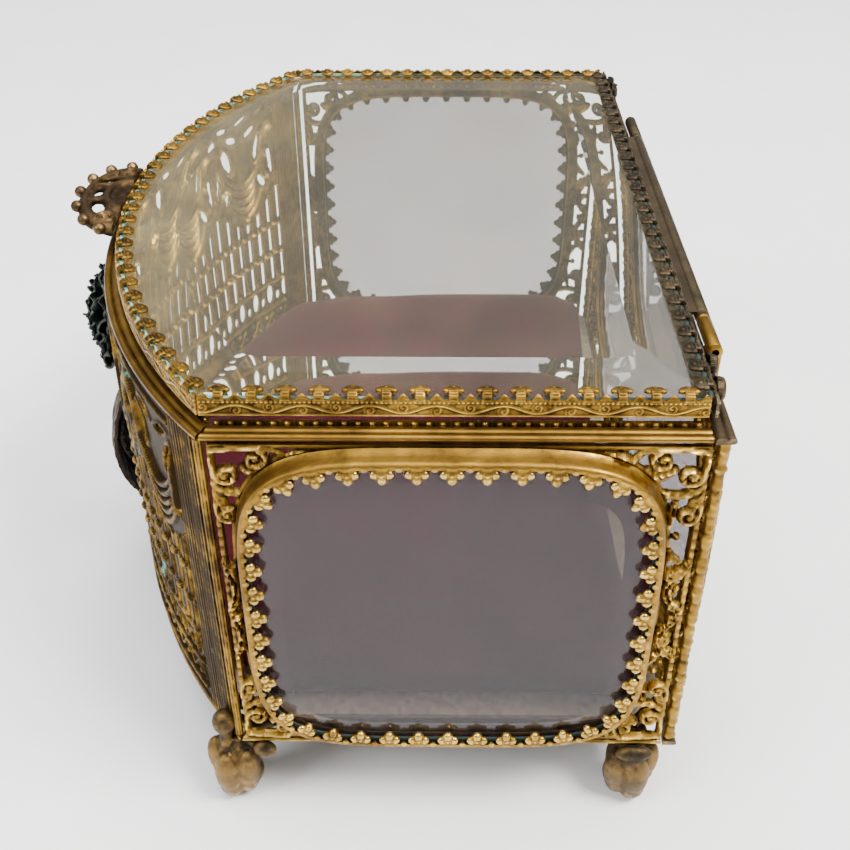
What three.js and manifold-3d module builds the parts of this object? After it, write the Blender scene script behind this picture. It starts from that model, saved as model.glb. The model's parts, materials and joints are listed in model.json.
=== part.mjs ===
// Vanity trinket box: a bow-fronted gilt-metal casket with bevelled glass, pierced panels, paw feet,
// a hinged glass lid and a padded velvet cushion. Millimetres, +Z up, front towards -Y, feet on Z = 0.
import * as THREE from 'three';
import { mergeVertices } from 'three/addons/utils/BufferGeometryUtils.js';
import Module from 'manifold-3d';

const wasm = await Module();
wasm.setup();

// ---- driving dimensions -------------------------------------------------------------------------
const GAP = 0.3; // between separate pieces that touch
const BODY_HALF = 69.8; // half the width of the case, to the outside of the end panels
const BACK_Y = 38; // outer face of the back panel
const BOW_CENTRE_Y = 43.7; // axis of the bowed front
const BOW_RADIUS = 106.4; // outside of the bowed front panel
const PANEL_BOTTOM = 16; // the feet lift the panels this far
const PANEL_TOP = 79.3;
const PANEL_THICK = 1.2;
const FRONT_REPEAT = 22.8; // one arch and swag of the front panel
const POST_RADIUS = 1.2;
const POST_X = 69;
const POST_FRONT_Y = -36.2;
const POST_BACK_Y = 37.2;
const PLAN_CORNER = 4.8; // cut-off at the corners of the plate, board and cushion, to clear the posts

const LEDGE_BOTTOM = PANEL_TOP + GAP;
const LEDGE_HEIGHT = 1.1;
const LEDGE_IN = 2.4; // how far the ledge reaches inside the panel face
const LEDGE_OUT = 0.6; // how far its nose stands proud
const LIP_INSET = 2.7; // outer face of the beaded lip, from the panel face
const LIP_THICK = 0.6;
const LIP_TOP = 81;

const RAIL_BOTTOM = 14.8;
const RAIL_TOP = 15.7;
const RAIL_IN = 2;
const RAIL_OUT = 0.4;
const PLATE_BOTTOM = 17;
const PLATE_THICK = 1.2;

const LID_HALF = 67.7;
const LID_BACK = 35.9;
const LID_CENTRE_Y = 48.3; // axis of the lid's own bow, a little flatter than the case's
const LID_RADIUS = 108.7;
const BAND_BOTTOM = 82.3;
const BAND_TOP = 85.3;
const BAND_THICK = 0.8;
const SEAT_REACH = 2.8; // shelf that carries the lid glass, from the band's outer face
const SEAT_TOP = 82.9;
const PRONG_REACH = 3.4;
const PRONG_BOTTOM = 85.4;
const PRONG_TOP = 86;
const PRONG_PITCH = 4.8;
const LID_GLASS_BOTTOM = 83.2;
const LID_GLASS_EDGE = 84.7;
const LID_GLASS_TOP = 85.7;
const LID_BEVEL = 9;

const WINDOW_Z = 47.7;
const SQUARENESS = 4.6; // exponent of the rounded-square window outline
const END_WINDOW = { halfWidth: 31, halfHeight: 29.7, centre: -1.5, prongs: 44, sides: 40 };
const BACK_WINDOW = { halfWidth: 59, halfHeight: 26, centre: 0, prongs: 60, sides: 60 };
const BEZEL_RISE = 3.4; // how far a bezel stands off its panel
const BEZEL_WALL = 0.8;
const BEZEL_FLARE = 1.4; // spread of the bezel's foot
const BEZEL_PRONG = 0.6; // thickness of the folded prongs
const PRONG_IN = 3.2;
const GLASS_BEVEL = 5;

const HINGE_Y = 38.9;
const HINGE_Z = 82.6;
const BARREL_RADIUS = 1.2;
const PIN_RADIUS = 0.6;
const BORE_RADIUS = 0.665;
const BARREL_FROM = -33;
const BARREL_TO = 41;
const KNUCKLE_LENGTH = 10;
const HINGE_LEAF = 0.6; // thickness of the hinge leaves
const BACK_LEAF_DROP = 4; // how far the case leaves hang below the ledge

const FOOT_X = 68.4;
const FOOT_FRONT_Y = -38;
const FOOT_BACK_Y = 31;
const FOOT_TOP = 14.5;
const SOLE_RADIUS = 3.4; // flat the foot stands on
const BOSS_X = 62; // screw boss of each foot, inside the case
const BOSS_FRONT_Y = -29.5;
const BOSS_BACK_Y = 27.5;
const BOSS_RADIUS = 2.6;
const BOSS_BOTTOM = 12.6;
const SCREW_RADIUS = 1;
const SCREW_HOLE = 1.3;
const SCREW_BOTTOM = 14.2;
const SCREW_LENGTH = 5.2;
const SCREW_HEAD = 0.8;

const SCROLL_X = 60; // scrolls on the back of the lid, past the hinge
const SCROLL_Z = 84.3;
const SCROLL_HALF = 4;
const SCROLL_RADIUS = 1.9;
const SCROLL_THICK = 1.4;

const PULL_HALF = 14.5; // half the width of the fan-shaped pull
const PULL_REACH = 8.4; // how far it stands out from the lid
const PULL_MIDDLE = 84.25;
const PULL_THICK = 1.3;
const PULL_LOBES = 7;
const PULL_RISE = 0.14; // slope of the pull, radians up towards its rim

const BOARD_BOTTOM = 19.6;
const BOARD_INSET = 2.2; // edge of the board, from the panel face
const CUSHION_INSET = 2;
const CUSHION_BOTTOM = 20.8;
const CUSHION_EDGE = 23.5;
const CUSHION_TOP = 29;

const ROSE_Z = 60;
const LEAF_TOP = 46;
const LEAF_BOTTOM = 12;
const LEAF_HALF = 7.5; // half its width
const LEAF_SWELL = 7.4; // how far it bellies out from the front

// ---- materials ----------------------------------------------------------------------------------
const gilt = { color: 0xb4823c, roughness: 0.42, metalness: 1 };
const wornGilt = { color: 0xc0925a, roughness: 0.5, metalness: 1 };
const darkBronze = { color: 0x2c332b, roughness: 0.7, metalness: 0.8 };
const clearGlass = { color: 0xdfe9e4, roughness: 0.03, metalness: 0, transparent: true, opacity: 0.3 };
const velvet = { color: 0x5a0a1e, roughness: 0.95, metalness: 0 };
const card = { color: 0x8a7a66, roughness: 0.9, metalness: 0 };
const steel = { color: 0x9a958c, roughness: 0.45, metalness: 1 };

const casket = new THREE.Group();

function add(name, geometry, finish) {
  const mesh = new THREE.Mesh(geometry, new THREE.MeshStandardMaterial(finish));
  mesh.name = name;
  casket.add(mesh);
  return mesh;
}

// ---- solids -------------------------------------------------------------------------------------
function toSolid(geometry) {
  const bare = geometry.clone();
  bare.deleteAttribute('normal');
  bare.deleteAttribute('uv');
  const merged = mergeVertices(bare, 1e-4);
  const vertProperties = new Float32Array(merged.attributes.position.array);
  const triVerts = new Uint32Array(merged.index.array);
  return new wasm.Manifold(new wasm.Mesh({ numProp: 3, vertProperties, triVerts }));
}

function toGeometry(solid) {
  const mesh = solid.getMesh();
  const geometry = new THREE.BufferGeometry();
  geometry.setAttribute('position', new THREE.BufferAttribute(new Float32Array(mesh.vertProperties), 3));
  geometry.setIndex(new THREE.BufferAttribute(new Uint32Array(mesh.triVerts), 1));
  geometry.computeVertexNormals();
  return geometry;
}

function join(...geometries) {
  return toGeometry(geometries.map(toSolid).reduce((sum, solid) => sum.add(solid)));
}

function cut(geometry, ...tools) {
  return toGeometry(tools.map(toSolid).reduce((rest, solid) => rest.subtract(solid), toSolid(geometry)));
}

function shapeOf(points, holes = []) {
  const shape = new THREE.Shape(points);
  shape.holes = holes.map((hole) => new THREE.Path(hole));
  return shape;
}

// A plan outline raised from one height to another.
function slab(points, bottom, top, holes = []) {
  const geometry = new THREE.ExtrudeGeometry(shapeOf(points, holes), {
    depth: top - bottom,
    bevelEnabled: false,
  });
  return geometry.translate(0, 0, bottom);
}

// A skin over equal loops of points: capped at both ends, or joined end to start as a ring.
function loft(loops, ring = false) {
  const count = loops[0].length;
  const positions = loops.flat().flatMap((p) => [p.x, p.y, p.z]);
  const index = [];
  const steps = ring ? loops.length : loops.length - 1;
  for (let row = 0; row < steps; row += 1) {
    const next = (row + 1) % loops.length;
    for (let i = 0; i < count; i += 1) {
      const j = (i + 1) % count;
      const a = row * count + i;
      const b = row * count + j;
      const c = next * count + j;
      const d = next * count + i;
      index.push(a, b, c, a, c, d);
    }
  }
  if (!ring) {
    const flat = loops[0].map((p) => new THREE.Vector2(p.x, p.y));
    const last = (loops.length - 1) * count;
    for (const [a, b, c] of THREE.ShapeUtils.triangulateShape(flat, [])) {
      index.push(c, b, a);
      index.push(last + a, last + b, last + c);
    }
  }
  const geometry = new THREE.BufferGeometry();
  geometry.setAttribute('position', new THREE.Float32BufferAttribute(positions, 3));
  geometry.setIndex(index);
  return geometry;
}

function box(x0, x1, y0, y1, z0, z1) {
  const geometry = new THREE.BoxGeometry(x1 - x0, y1 - y0, z1 - z0);
  return geometry.translate((x0 + x1) / 2, (y0 + y1) / 2, (z0 + z1) / 2);
}

function rod(radius, length, sides, axis) {
  const geometry = new THREE.CylinderGeometry(radius, radius, length, sides);
  if (axis === 'x') geometry.rotateZ(-Math.PI / 2);
  if (axis === 'z') geometry.rotateX(Math.PI / 2);
  return geometry;
}

function ball(radius, x, y, z, flatY = 1, detail = 1) {
  return new THREE.IcosahedronGeometry(radius, detail).scale(1, flatY, 1).translate(x, y, z);
}

// ---- plan of the box ----------------------------------------------------------------------------
function bowPoint(radius, angle, centreY = BOW_CENTRE_Y) {
  return new THREE.Vector2(radius * Math.sin(angle), centreY - radius * Math.cos(angle));
}

// The D-shaped plan: straight back and ends, bowed front, corners cut off by `corner`.
function plan(half, back, radius, corner, centreY = BOW_CENTRE_Y, steps = 24) {
  const points = [new THREE.Vector2(half - corner, back), new THREE.Vector2(-half + corner, back)];
  points.push(new THREE.Vector2(-half, back - corner));
  const frontY = centreY - Math.sqrt(radius ** 2 - half ** 2);
  points.push(new THREE.Vector2(-half, frontY + corner));
  const limit = Math.asin((half - corner) / radius);
  for (let i = 0; i <= steps; i += 1) {
    points.push(bowPoint(radius, -limit + (2 * limit * i) / steps, centreY));
  }
  points.push(new THREE.Vector2(half, frontY + corner));
  points.push(new THREE.Vector2(half, back - corner));
  return points;
}

function bowStrip(innerRadius, outerRadius, innerLimit, outerLimit, centreY = BOW_CENTRE_Y, steps = 24) {
  const arc = (radius, limit) => Array.from({ length: steps + 1 }, (_, i) => {
    return bowPoint(radius, -limit + (2 * limit * i) / steps, centreY);
  });
  return [...arc(outerRadius, outerLimit), ...arc(innerRadius, innerLimit).reverse()];
}

const postAngle = Math.atan(POST_X / (BOW_CENTRE_Y - POST_FRONT_Y));
const bowLimit = postAngle - (POST_RADIUS + GAP) / BOW_RADIUS;
const endMiddleY = (POST_FRONT_Y + POST_BACK_Y) / 2;
const endLimit = (POST_BACK_Y - POST_FRONT_Y) / 2 - POST_RADIUS - GAP;
const backLimit = POST_X - POST_RADIUS - GAP;

// ---- pierced panels -----------------------------------------------------------------------------
// A closed hole outline: an ellipse, drawn out to a point at one end by `taper`.
function petal(u, v, halfU, halfV, turn = 0, taper = 0, sides = 7) {
  const points = [];
  for (let i = 0; i < sides; i += 1) {
    const angle = (2 * Math.PI * i) / sides;
    const along = Math.sin(angle);
    const across = Math.cos(angle) * (1 - taper * along);
    const point = new THREE.Vector2(across * halfU, along * halfV);
    points.push(point.rotateAround(new THREE.Vector2(0, 0), turn).add(new THREE.Vector2(u, v)));
  }
  return points;
}

// The rounded-square window outline with bulging sides, in evenly spaced points, moved outwards
// by `spread` along its normal.
function windowOutline(window, spread, count) {
  const power = 2 / SQUARENESS;
  const base = Array.from({ length: 180 }, (_, i) => {
    const angle = (2 * Math.PI * (i + 0.5)) / 180;
    const c = Math.cos(angle);
    const s = Math.sin(angle);
    const u = Math.sign(c) * Math.abs(c) ** power * window.halfWidth;
    const v = Math.sign(s) * Math.abs(s) ** power * window.halfHeight;
    return new THREE.Vector2(window.centre + u, WINDOW_Z + v);
  });
  const even = new THREE.Path([...base, base[0]]).getSpacedPoints(count).slice(0, count);
  return even.map((point, i) => {
    const tangent = even[(i + 1) % count].clone().sub(even[(i + count - 1) % count]).normalize();
    return new THREE.Vector2(point.x + tangent.y * spread, point.y - tangent.x * spread);
  });
}

function isOutside(point, window, margin) {
  const u = Math.abs(point.x - window.centre) / (window.halfWidth + margin);
  const v = Math.abs(point.y - WINDOW_Z) / (window.halfHeight + margin);
  return u ** SQUARENESS + v ** SQUARENESS > 1;
}

// Four corner sprays of holes round a window. u runs along the panel, v up it.
function cornerHoles(window, halfU) {
  const holes = [];
  for (const sideU of [-1, 1]) {
    for (const sideV of [-1, 1]) {
      const cornerU = sideU * (halfU - 3.2);
      const cornerV = WINDOW_Z + sideV * 27.5;
      holes.push(petal(cornerU, cornerV, 1.5, 1.5));
      holes.push(petal(cornerU - sideU * 0.2, cornerV - sideV * 5.4, 1.1, 2, sideU * sideV * 0.5));
      holes.push(petal(cornerU - sideU * 4.8, cornerV + sideV * 0.4, 1.9, 1, -sideU * sideV * 0.3));
      holes.push(petal(cornerU + sideU * 0.2, cornerV - sideV * 11.2, 0.9, 1.9));
      holes.push(petal(cornerU + sideU * 0.5, cornerV - sideV * 16.6, 0.7, 1.8));
    }
  }
  return holes.filter((hole) => hole.every((point) => isOutside(point, window, BEZEL_FLARE + 0.6)));
}

function windowPanel(window, halfU, extraHoles = []) {
  const outline = [[-halfU, PANEL_BOTTOM], [halfU, PANEL_BOTTOM], [halfU, PANEL_TOP], [-halfU, PANEL_TOP]];
  const holes = [windowOutline(window, -0.6, window.sides), ...cornerHoles(window, halfU), ...extraHoles];
  const corners = outline.map(([u, v]) => new THREE.Vector2(u, v));
  return join(slab(corners, -PANEL_THICK, 0, holes));
}

// Holes of one repeat of the front: arch, teardrops, swag gaps and bars.
function repeatHoles(u) {
  const holes = [petal(u, 66, 1.7, 5.2, 0, 0.35)];
  for (const side of [-1, 1]) {
    holes.push(petal(u + side * 5.6, 69.2, 1.3, 3, side * 0.35, -0.4));
    holes.push(petal(u + side * 5.8, 59, 1.2, 2.6, -side * 0.5));
    holes.push(petal(u + side * 2.7, 48.5, 0.9, 5.6));
    holes.push(petal(u + side * 2.7, 34, 0.9, 6));
    holes.push(petal(u + side * 7.6, 38, 0.9, 5.4));
  }
  return holes;
}

// A flat sheet in (u, v, w) wrapped on the bow: u along the arc, v up, w outwards.
function wrapOnBow(geometry) {
  const position = geometry.attributes.position;
  for (let i = 0; i < position.count; i += 1) {
    const radius = BOW_RADIUS + position.getZ(i);
    const angle = position.getX(i) / BOW_RADIUS;
    const up = position.getY(i);
    position.setXYZ(i, radius * Math.sin(angle), BOW_CENTRE_Y - radius * Math.cos(angle), up);
  }
  return geometry;
}

function frontPanel() {
  const halfU = bowLimit * BOW_RADIUS;
  const outline = [[-halfU, PANEL_BOTTOM], [halfU, PANEL_BOTTOM], [halfU, PANEL_TOP], [-halfU, PANEL_TOP]];
  const corners = outline.map(([u, v]) => new THREE.Vector2(u, v));
  const holes = [-3, -2, -1, 0, 1, 2, 3].flatMap((i) => repeatHoles(i * FRONT_REPEAT));
  const inside = holes.filter((hole) => hole.every((point) => Math.abs(point.x) < halfU - 1.5));
  const flat = toSolid(slab(corners, -PANEL_THICK, 0, inside));
  const strips = 13;
  const width = (2 * halfU) / strips;
  const curved = Array.from({ length: strips }, (_, i) => {
    const from = -halfU + width * i;
    const window = toSolid(box(from, from + width, 0, PANEL_TOP + 10, -5, 5));
    return toSolid(wrapOnBow(toGeometry(flat.intersect(window))));
  });
  return toGeometry(curved.reduce((sum, strip) => sum.add(strip)));
}

// Moves a piece built flat (u, v, w) onto an end panel or the back panel, w outwards.
function ontoRight(geometry) {
  return geometry.rotateX(Math.PI / 2).rotateZ(Math.PI / 2).translate(BODY_HALF, endMiddleY, 0);
}

function ontoLeft(geometry) {
  return geometry.rotateX(Math.PI / 2).rotateZ(-Math.PI / 2).translate(-BODY_HALF, endMiddleY, 0);
}

function ontoBack(geometry) {
  return geometry.rotateX(Math.PI / 2).rotateZ(Math.PI).translate(0, BACK_Y, 0);
}

// ---- glazed windows -----------------------------------------------------------------------------
function lift(points, height) {
  return points.map((p) => new THREE.Vector3(p.x, p.y, height));
}

// A gallery strip bent round the glass: a flared wall with prongs folded over the front.
function bezel(window) {
  const count = window.sides;
  const foot = lift(windowOutline(window, BEZEL_FLARE, count), GAP);
  const shoulder = lift(windowOutline(window, BEZEL_WALL, count), GAP + 1.4);
  const rim = lift(windowOutline(window, BEZEL_WALL, count), BEZEL_RISE + BEZEL_PRONG);
  const innerRim = lift(windowOutline(window, 0, count), BEZEL_RISE + BEZEL_PRONG);
  const innerFoot = lift(windowOutline(window, 0, count), GAP);
  const wall = loft([foot, shoulder, rim, innerRim, innerFoot], true);
  const roots = windowOutline(window, 0.3, window.prongs * 3);
  const tips = windowOutline(window, -PRONG_IN, window.prongs * 3);
  const teeth = roots.map((root, i) => (i % 3 === 1 ? tips[i] : root));
  const outer = windowOutline(window, BEZEL_WALL, count);
  return join(wall, slab(outer, BEZEL_RISE, BEZEL_RISE + BEZEL_PRONG, [teeth]));
}

function windowGlass(window) {
  const count = window.sides;
  const edge = windowOutline(window, -GAP, count);
  const field = windowOutline(window, -GAP - GLASS_BEVEL, count);
  return loft([lift(edge, 0.9), lift(edge, 2), lift(field, 3)]);
}

function mirrored(window) {
  return { ...window, centre: -window.centre };
}

add('end_filigree_right', ontoRight(windowPanel(END_WINDOW, endLimit)), gilt);
add('end_filigree_left', ontoLeft(windowPanel(mirrored(END_WINDOW), endLimit)), gilt);
add('back_filigree', ontoBack(windowPanel(BACK_WINDOW, backLimit)), gilt);
add('front_filigree', frontPanel(), gilt);
add('window_bezel_right', ontoRight(bezel(END_WINDOW)), wornGilt);
add('window_bezel_left', ontoLeft(bezel(mirrored(END_WINDOW))), wornGilt);
add('window_bezel_back', ontoBack(bezel(BACK_WINDOW)), wornGilt);
add('window_glass_right', ontoRight(windowGlass(END_WINDOW)), clearGlass);
add('window_glass_left', ontoLeft(windowGlass(mirrored(END_WINDOW))), clearGlass);
add('window_glass_back', ontoBack(windowGlass(BACK_WINDOW)), clearGlass);

// ---- corner posts, base plate and mouldings -----------------------------------------------------
for (const [end, y] of [['front', POST_FRONT_Y], ['back', POST_BACK_Y]]) {
  for (const [side, x] of [['left', -POST_X], ['right', POST_X]]) {
    const height = PANEL_TOP - PANEL_BOTTOM;
    const post = rod(POST_RADIUS, height, 12, 'z').translate(x, y, PANEL_BOTTOM + height / 2);
    add(`corner_post_${end}_${side}`, post, gilt);
  }
}

// Four strips that follow the plan, one above each wall.
function perimeter(prefix, inset, proud, bottom, top, finish) {
  const outerBack = BACK_Y + proud;
  const back = box(-BODY_HALF - proud, BODY_HALF + proud, BACK_Y - inset, outerBack, bottom, top);
  add(`${prefix}_back`, back, finish);
  const innerX = BODY_HALF - inset;
  const outerX = BODY_HALF + proud;
  const innerAngle = Math.asin(innerX / (BOW_RADIUS - inset));
  const outerAngle = Math.asin(outerX / (BOW_RADIUS + proud));
  const outline = bowStrip(BOW_RADIUS - inset, BOW_RADIUS + proud, innerAngle, outerAngle);
  add(`${prefix}_front`, slab(outline, bottom, top), finish);
  const innerY = bowPoint(BOW_RADIUS - inset, innerAngle).y + 1.4 * GAP;
  const outerY = bowPoint(BOW_RADIUS + proud, outerAngle).y + 1.4 * GAP;
  const backY = BACK_Y - inset - GAP;
  for (const [side, sign] of [['left', -1], ['right', 1]]) {
    const corners = [[outerX, outerY], [outerX, backY], [innerX, backY], [innerX, innerY]];
    const points = corners.map(([x, y]) => new THREE.Vector2(sign * x, y));
    add(`${prefix}_${side}`, slab(points, bottom, top), finish);
  }
}

perimeter('top_ledge', LEDGE_IN, LEDGE_OUT, LEDGE_BOTTOM, LEDGE_BOTTOM + LEDGE_HEIGHT, gilt);
perimeter('base_rail', RAIL_IN, RAIL_OUT, RAIL_BOTTOM, RAIL_TOP, gilt);
perimeter('beaded_lip', LIP_INSET + LIP_THICK, -LIP_INSET, LEDGE_BOTTOM, LIP_TOP, gilt);

const footPlaces = [];
for (const [end, y, bossY] of [['front', FOOT_FRONT_Y, BOSS_FRONT_Y], ['back', FOOT_BACK_Y, BOSS_BACK_Y]]) {
  for (const [side, sign] of [['left', -1], ['right', 1]]) {
    footPlaces.push({ name: `${end}_${side}`, sign, x: sign * FOOT_X, y, bossX: sign * BOSS_X, bossY });
  }
}

const screwHoles = footPlaces.map((foot) => petal(foot.bossX, foot.bossY, SCREW_HOLE, SCREW_HOLE, 0, 0, 10));
const plateOutline = plan(BODY_HALF - PANEL_THICK - GAP, BACK_Y - PANEL_THICK - GAP,
  BOW_RADIUS - PANEL_THICK - GAP, PLAN_CORNER);
const plate = slab(plateOutline, PLATE_BOTTOM, PLATE_BOTTOM + PLATE_THICK, screwHoles);
add('base_plate', plate, gilt);

// ---- paw feet -----------------------------------------------------------------------------------
function capsule(ax, ay, bx, by, radius, bottom, top) {
  const turn = Math.atan2(by - ay, bx - ax);
  const points = [];
  for (let i = 0; i <= 4; i += 1) {
    const angle = turn - Math.PI / 2 + (Math.PI * i) / 4;
    points.push(new THREE.Vector2(bx + radius * Math.cos(angle), by + radius * Math.sin(angle)));
  }
  for (let i = 0; i <= 4; i += 1) {
    const angle = turn + Math.PI / 2 + (Math.PI * i) / 4;
    points.push(new THREE.Vector2(ax + radius * Math.cos(angle), ay + radius * Math.sin(angle)));
  }
  return slab(points, bottom, top);
}

function pawFoot(foot) {
  const profile = [[0, 1], [3.8, 1], [4.2, 3.5], [2.9, 9], [4.4, 13], [4.4, FOOT_TOP], [0, FOOT_TOP]];
  const leg = new THREE.LatheGeometry(profile.map(([r, z]) => new THREE.Vector2(r, z)), 9);
  leg.rotateX(Math.PI / 2).translate(foot.x, foot.y, 0);
  const heading = Math.atan2(foot.y < 0 ? -0.6 : 0.35, foot.sign);
  const toes = [-0.75, 0, 0.75].map((spread) => {
    const angle = heading + spread;
    return ball(2.7, foot.x + 3 * Math.cos(angle), foot.y + 3 * Math.sin(angle), 2.5);
  });
  const heel = ball(3.2, foot.x - 1.6 * Math.cos(heading), foot.y - 1.6 * Math.sin(heading), 2.6);
  const flange = capsule(foot.x, foot.y, foot.bossX, foot.bossY, BOSS_RADIUS, BOSS_BOTTOM, FOOT_TOP);
  const boss = rod(BOSS_RADIUS, PLATE_BOTTOM - GAP - BOSS_BOTTOM, 8, 'z');
  boss.translate(foot.bossX, foot.bossY, (PLATE_BOTTOM - GAP + BOSS_BOTTOM) / 2);
  const sole = rod(SOLE_RADIUS, 2, 12, 'z').translate(foot.x, foot.y, 1);
  const body = join(leg, ...toes, heel, flange, boss, sole);
  const ground = box(foot.x - 20, foot.x + 20, foot.y - 20, foot.y + 20, -10, 0);
  const bore = rod(SCREW_HOLE, 10, 8, 'z').translate(foot.bossX, foot.bossY, SCREW_BOTTOM - GAP + 5);
  return cut(body, ground, bore);
}

function footScrew(foot) {
  const middle = SCREW_BOTTOM + SCREW_LENGTH / 2;
  const shank = rod(SCREW_RADIUS, SCREW_LENGTH, 8, 'z').translate(foot.bossX, foot.bossY, middle);
  const headMiddle = PLATE_BOTTOM + PLATE_THICK + GAP + SCREW_HEAD / 2;
  const head = rod(2.2 * SCREW_RADIUS, SCREW_HEAD, 8, 'z').translate(foot.bossX, foot.bossY, headMiddle);
  return join(shank, head);
}

for (const foot of footPlaces) {
  add(`foot_${foot.name}`, pawFoot(foot), gilt);
  add(`foot_screw_${foot.name}`, footScrew(foot), steel);
}

// ---- cushion on its board -----------------------------------------------------------------------
function cushionLoop(inset, height) {
  const inside = CUSHION_INSET + inset;
  return lift(plan(BODY_HALF - inside, BACK_Y - inside, BOW_RADIUS - inside, PLAN_CORNER), height);
}

const boardOutline = plan(BODY_HALF - BOARD_INSET, BACK_Y - BOARD_INSET,
  BOW_RADIUS - BOARD_INSET, PLAN_CORNER);
add('cushion_board', slab(boardOutline, BOARD_BOTTOM, CUSHION_BOTTOM - GAP), card);
const cushionLoops = [
  cushionLoop(1.2, CUSHION_BOTTOM),
  cushionLoop(0, 22),
  cushionLoop(0.3, CUSHION_EDGE),
  cushionLoop(4, 26),
  cushionLoop(12, 28.2),
  cushionLoop(24, CUSHION_TOP),
];
add('cushion', loft(cushionLoops), velvet);

// ---- hinge --------------------------------------------------------------------------------------
const TUBE_SIDES = 16;

function hingeRod(radius, from, to) {
  return rod(radius, to - from, TUBE_SIDES, 'x').translate((from + to) / 2, HINGE_Y, HINGE_Z);
}

function bored(geometry, from, to) {
  return cut(geometry, hingeRod(BORE_RADIUS, from - 1, to + 1));
}

const backLeafY = BACK_Y + LEDGE_OUT + GAP; // clears the nose of the ledge
for (const [side, from] of [['left', BARREL_FROM - GAP - KNUCKLE_LENGTH], ['right', BARREL_TO + GAP]]) {
  const to = from + KNUCKLE_LENGTH;
  const backLeaf = box(from, to, backLeafY, backLeafY + HINGE_LEAF, LEDGE_BOTTOM - BACK_LEAF_DROP, HINGE_Z);
  add(`hinge_knuckle_${side}`, bored(join(hingeRod(BARREL_RADIUS, from, to), backLeaf), from, to), wornGilt);
}
const leafZ = HINGE_Z + HINGE_LEAF / 2;
const leafFrom = BARREL_FROM + 0.5;
const leafTo = BARREL_TO - 0.5;
const leafEdge = HINGE_Y - BORE_RADIUS - 0.1;
const lidLeaf = box(leafFrom, leafTo, LID_BACK + GAP, leafEdge, leafZ, leafZ + HINGE_LEAF);
const barrel = join(hingeRod(BARREL_RADIUS, BARREL_FROM, BARREL_TO), lidLeaf);
add('hinge_barrel', bored(barrel, BARREL_FROM, BARREL_TO), wornGilt);
const pinReach = KNUCKLE_LENGTH + GAP;
add('hinge_pin', hingeRod(PIN_RADIUS, BARREL_FROM - pinReach, BARREL_TO + pinReach), steel);

// ---- lid ----------------------------------------------------------------------------------------
const lidAngle = Math.asin(LID_HALF / LID_RADIUS) - 0.008;

// A straight gallery strip along u: wall, glass shelf and folded prongs reaching inwards (+v).
function galleryStrip(from, to, seatFrom, seatTo) {
  const wall = box(from, to, 0, BAND_THICK, BAND_BOTTOM, PRONG_TOP);
  const seat = box(seatFrom, seatTo, 0.2, SEAT_REACH, BAND_BOTTOM, SEAT_TOP);
  const count = Math.round((seatTo - seatFrom) / PRONG_PITCH);
  const pitch = (seatTo - seatFrom) / count;
  const comb = [new THREE.Vector2(seatTo, 0.2)];
  for (let i = count - 1; i >= 0; i -= 1) {
    const centre = seatFrom + pitch * (i + 0.5);
    comb.push(new THREE.Vector2(centre + 1.5, BAND_THICK));
    comb.push(new THREE.Vector2(centre, PRONG_REACH));
    comb.push(new THREE.Vector2(centre - 1.5, BAND_THICK));
  }
  comb.push(new THREE.Vector2(seatFrom, 0.2));
  return join(wall, seat, slab(comb.reverse(), PRONG_BOTTOM, PRONG_TOP));
}

function bowGallery() {
  const strip = (inner, outer) => bowStrip(inner, outer, lidAngle, lidAngle, LID_CENTRE_Y);
  const wall = slab(strip(LID_RADIUS - BAND_THICK, LID_RADIUS), BAND_BOTTOM, PRONG_TOP);
  const seat = slab(strip(LID_RADIUS - SEAT_REACH, LID_RADIUS - 0.2), BAND_BOTTOM, SEAT_TOP);
  const count = Math.round((2 * lidAngle * LID_RADIUS) / PRONG_PITCH);
  const step = (2 * lidAngle) / count;
  const comb = [];
  const addPoint = (radius, angle) => comb.push(bowPoint(radius, angle, LID_CENTRE_Y));
  for (let i = 0; i <= count; i += 1) addPoint(LID_RADIUS - 0.2, -lidAngle + step * i);
  for (let i = count - 1; i >= 0; i -= 1) {
    const centre = -lidAngle + step * (i + 0.5);
    addPoint(LID_RADIUS - BAND_THICK, centre + 1.5 / LID_RADIUS);
    addPoint(LID_RADIUS - PRONG_REACH, centre);
    addPoint(LID_RADIUS - BAND_THICK, centre - 1.5 / LID_RADIUS);
  }
  return join(wall, seat, slab(comb, PRONG_BOTTOM, PRONG_TOP));
}

const sideFrom = -35.7;
const sideTo = LID_BACK - BAND_THICK - GAP;
const sideSeatFrom = -33;
const sideSeatTo = LID_BACK - PRONG_REACH - GAP;
const rightStrip = galleryStrip(sideFrom, sideTo, sideSeatFrom, sideSeatTo);
const leftStrip = galleryStrip(-sideTo, -sideFrom, -sideSeatTo, -sideSeatFrom);
add('lid_gallery_front', bowGallery(), wornGilt);
add('lid_gallery_right', rightStrip.rotateZ(Math.PI / 2).translate(LID_HALF, 0, 0), wornGilt);
add('lid_gallery_left', leftStrip.rotateZ(-Math.PI / 2).translate(-LID_HALF, 0, 0), wornGilt);
const backSeat = LID_HALF - BAND_THICK - GAP;
const backStrip = galleryStrip(-LID_HALF, LID_HALF, -backSeat, backSeat);
add('lid_gallery_back', backStrip.rotateZ(Math.PI).translate(0, LID_BACK, 0), wornGilt);

function lidLoop(inset, corner, height) {
  const inside = BAND_THICK + GAP + inset;
  const outline = plan(LID_HALF - inside, LID_BACK - inside, LID_RADIUS - inside, corner, LID_CENTRE_Y);
  return lift(outline, height);
}

const lidGlassLoops = [
  lidLoop(0, 1.2, LID_GLASS_BOTTOM),
  lidLoop(0, 1.2, LID_GLASS_EDGE),
  lidLoop(LID_BEVEL, 1.2, LID_GLASS_TOP),
];
add('lid_glass', loft(lidGlassLoops), clearGlass);

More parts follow.
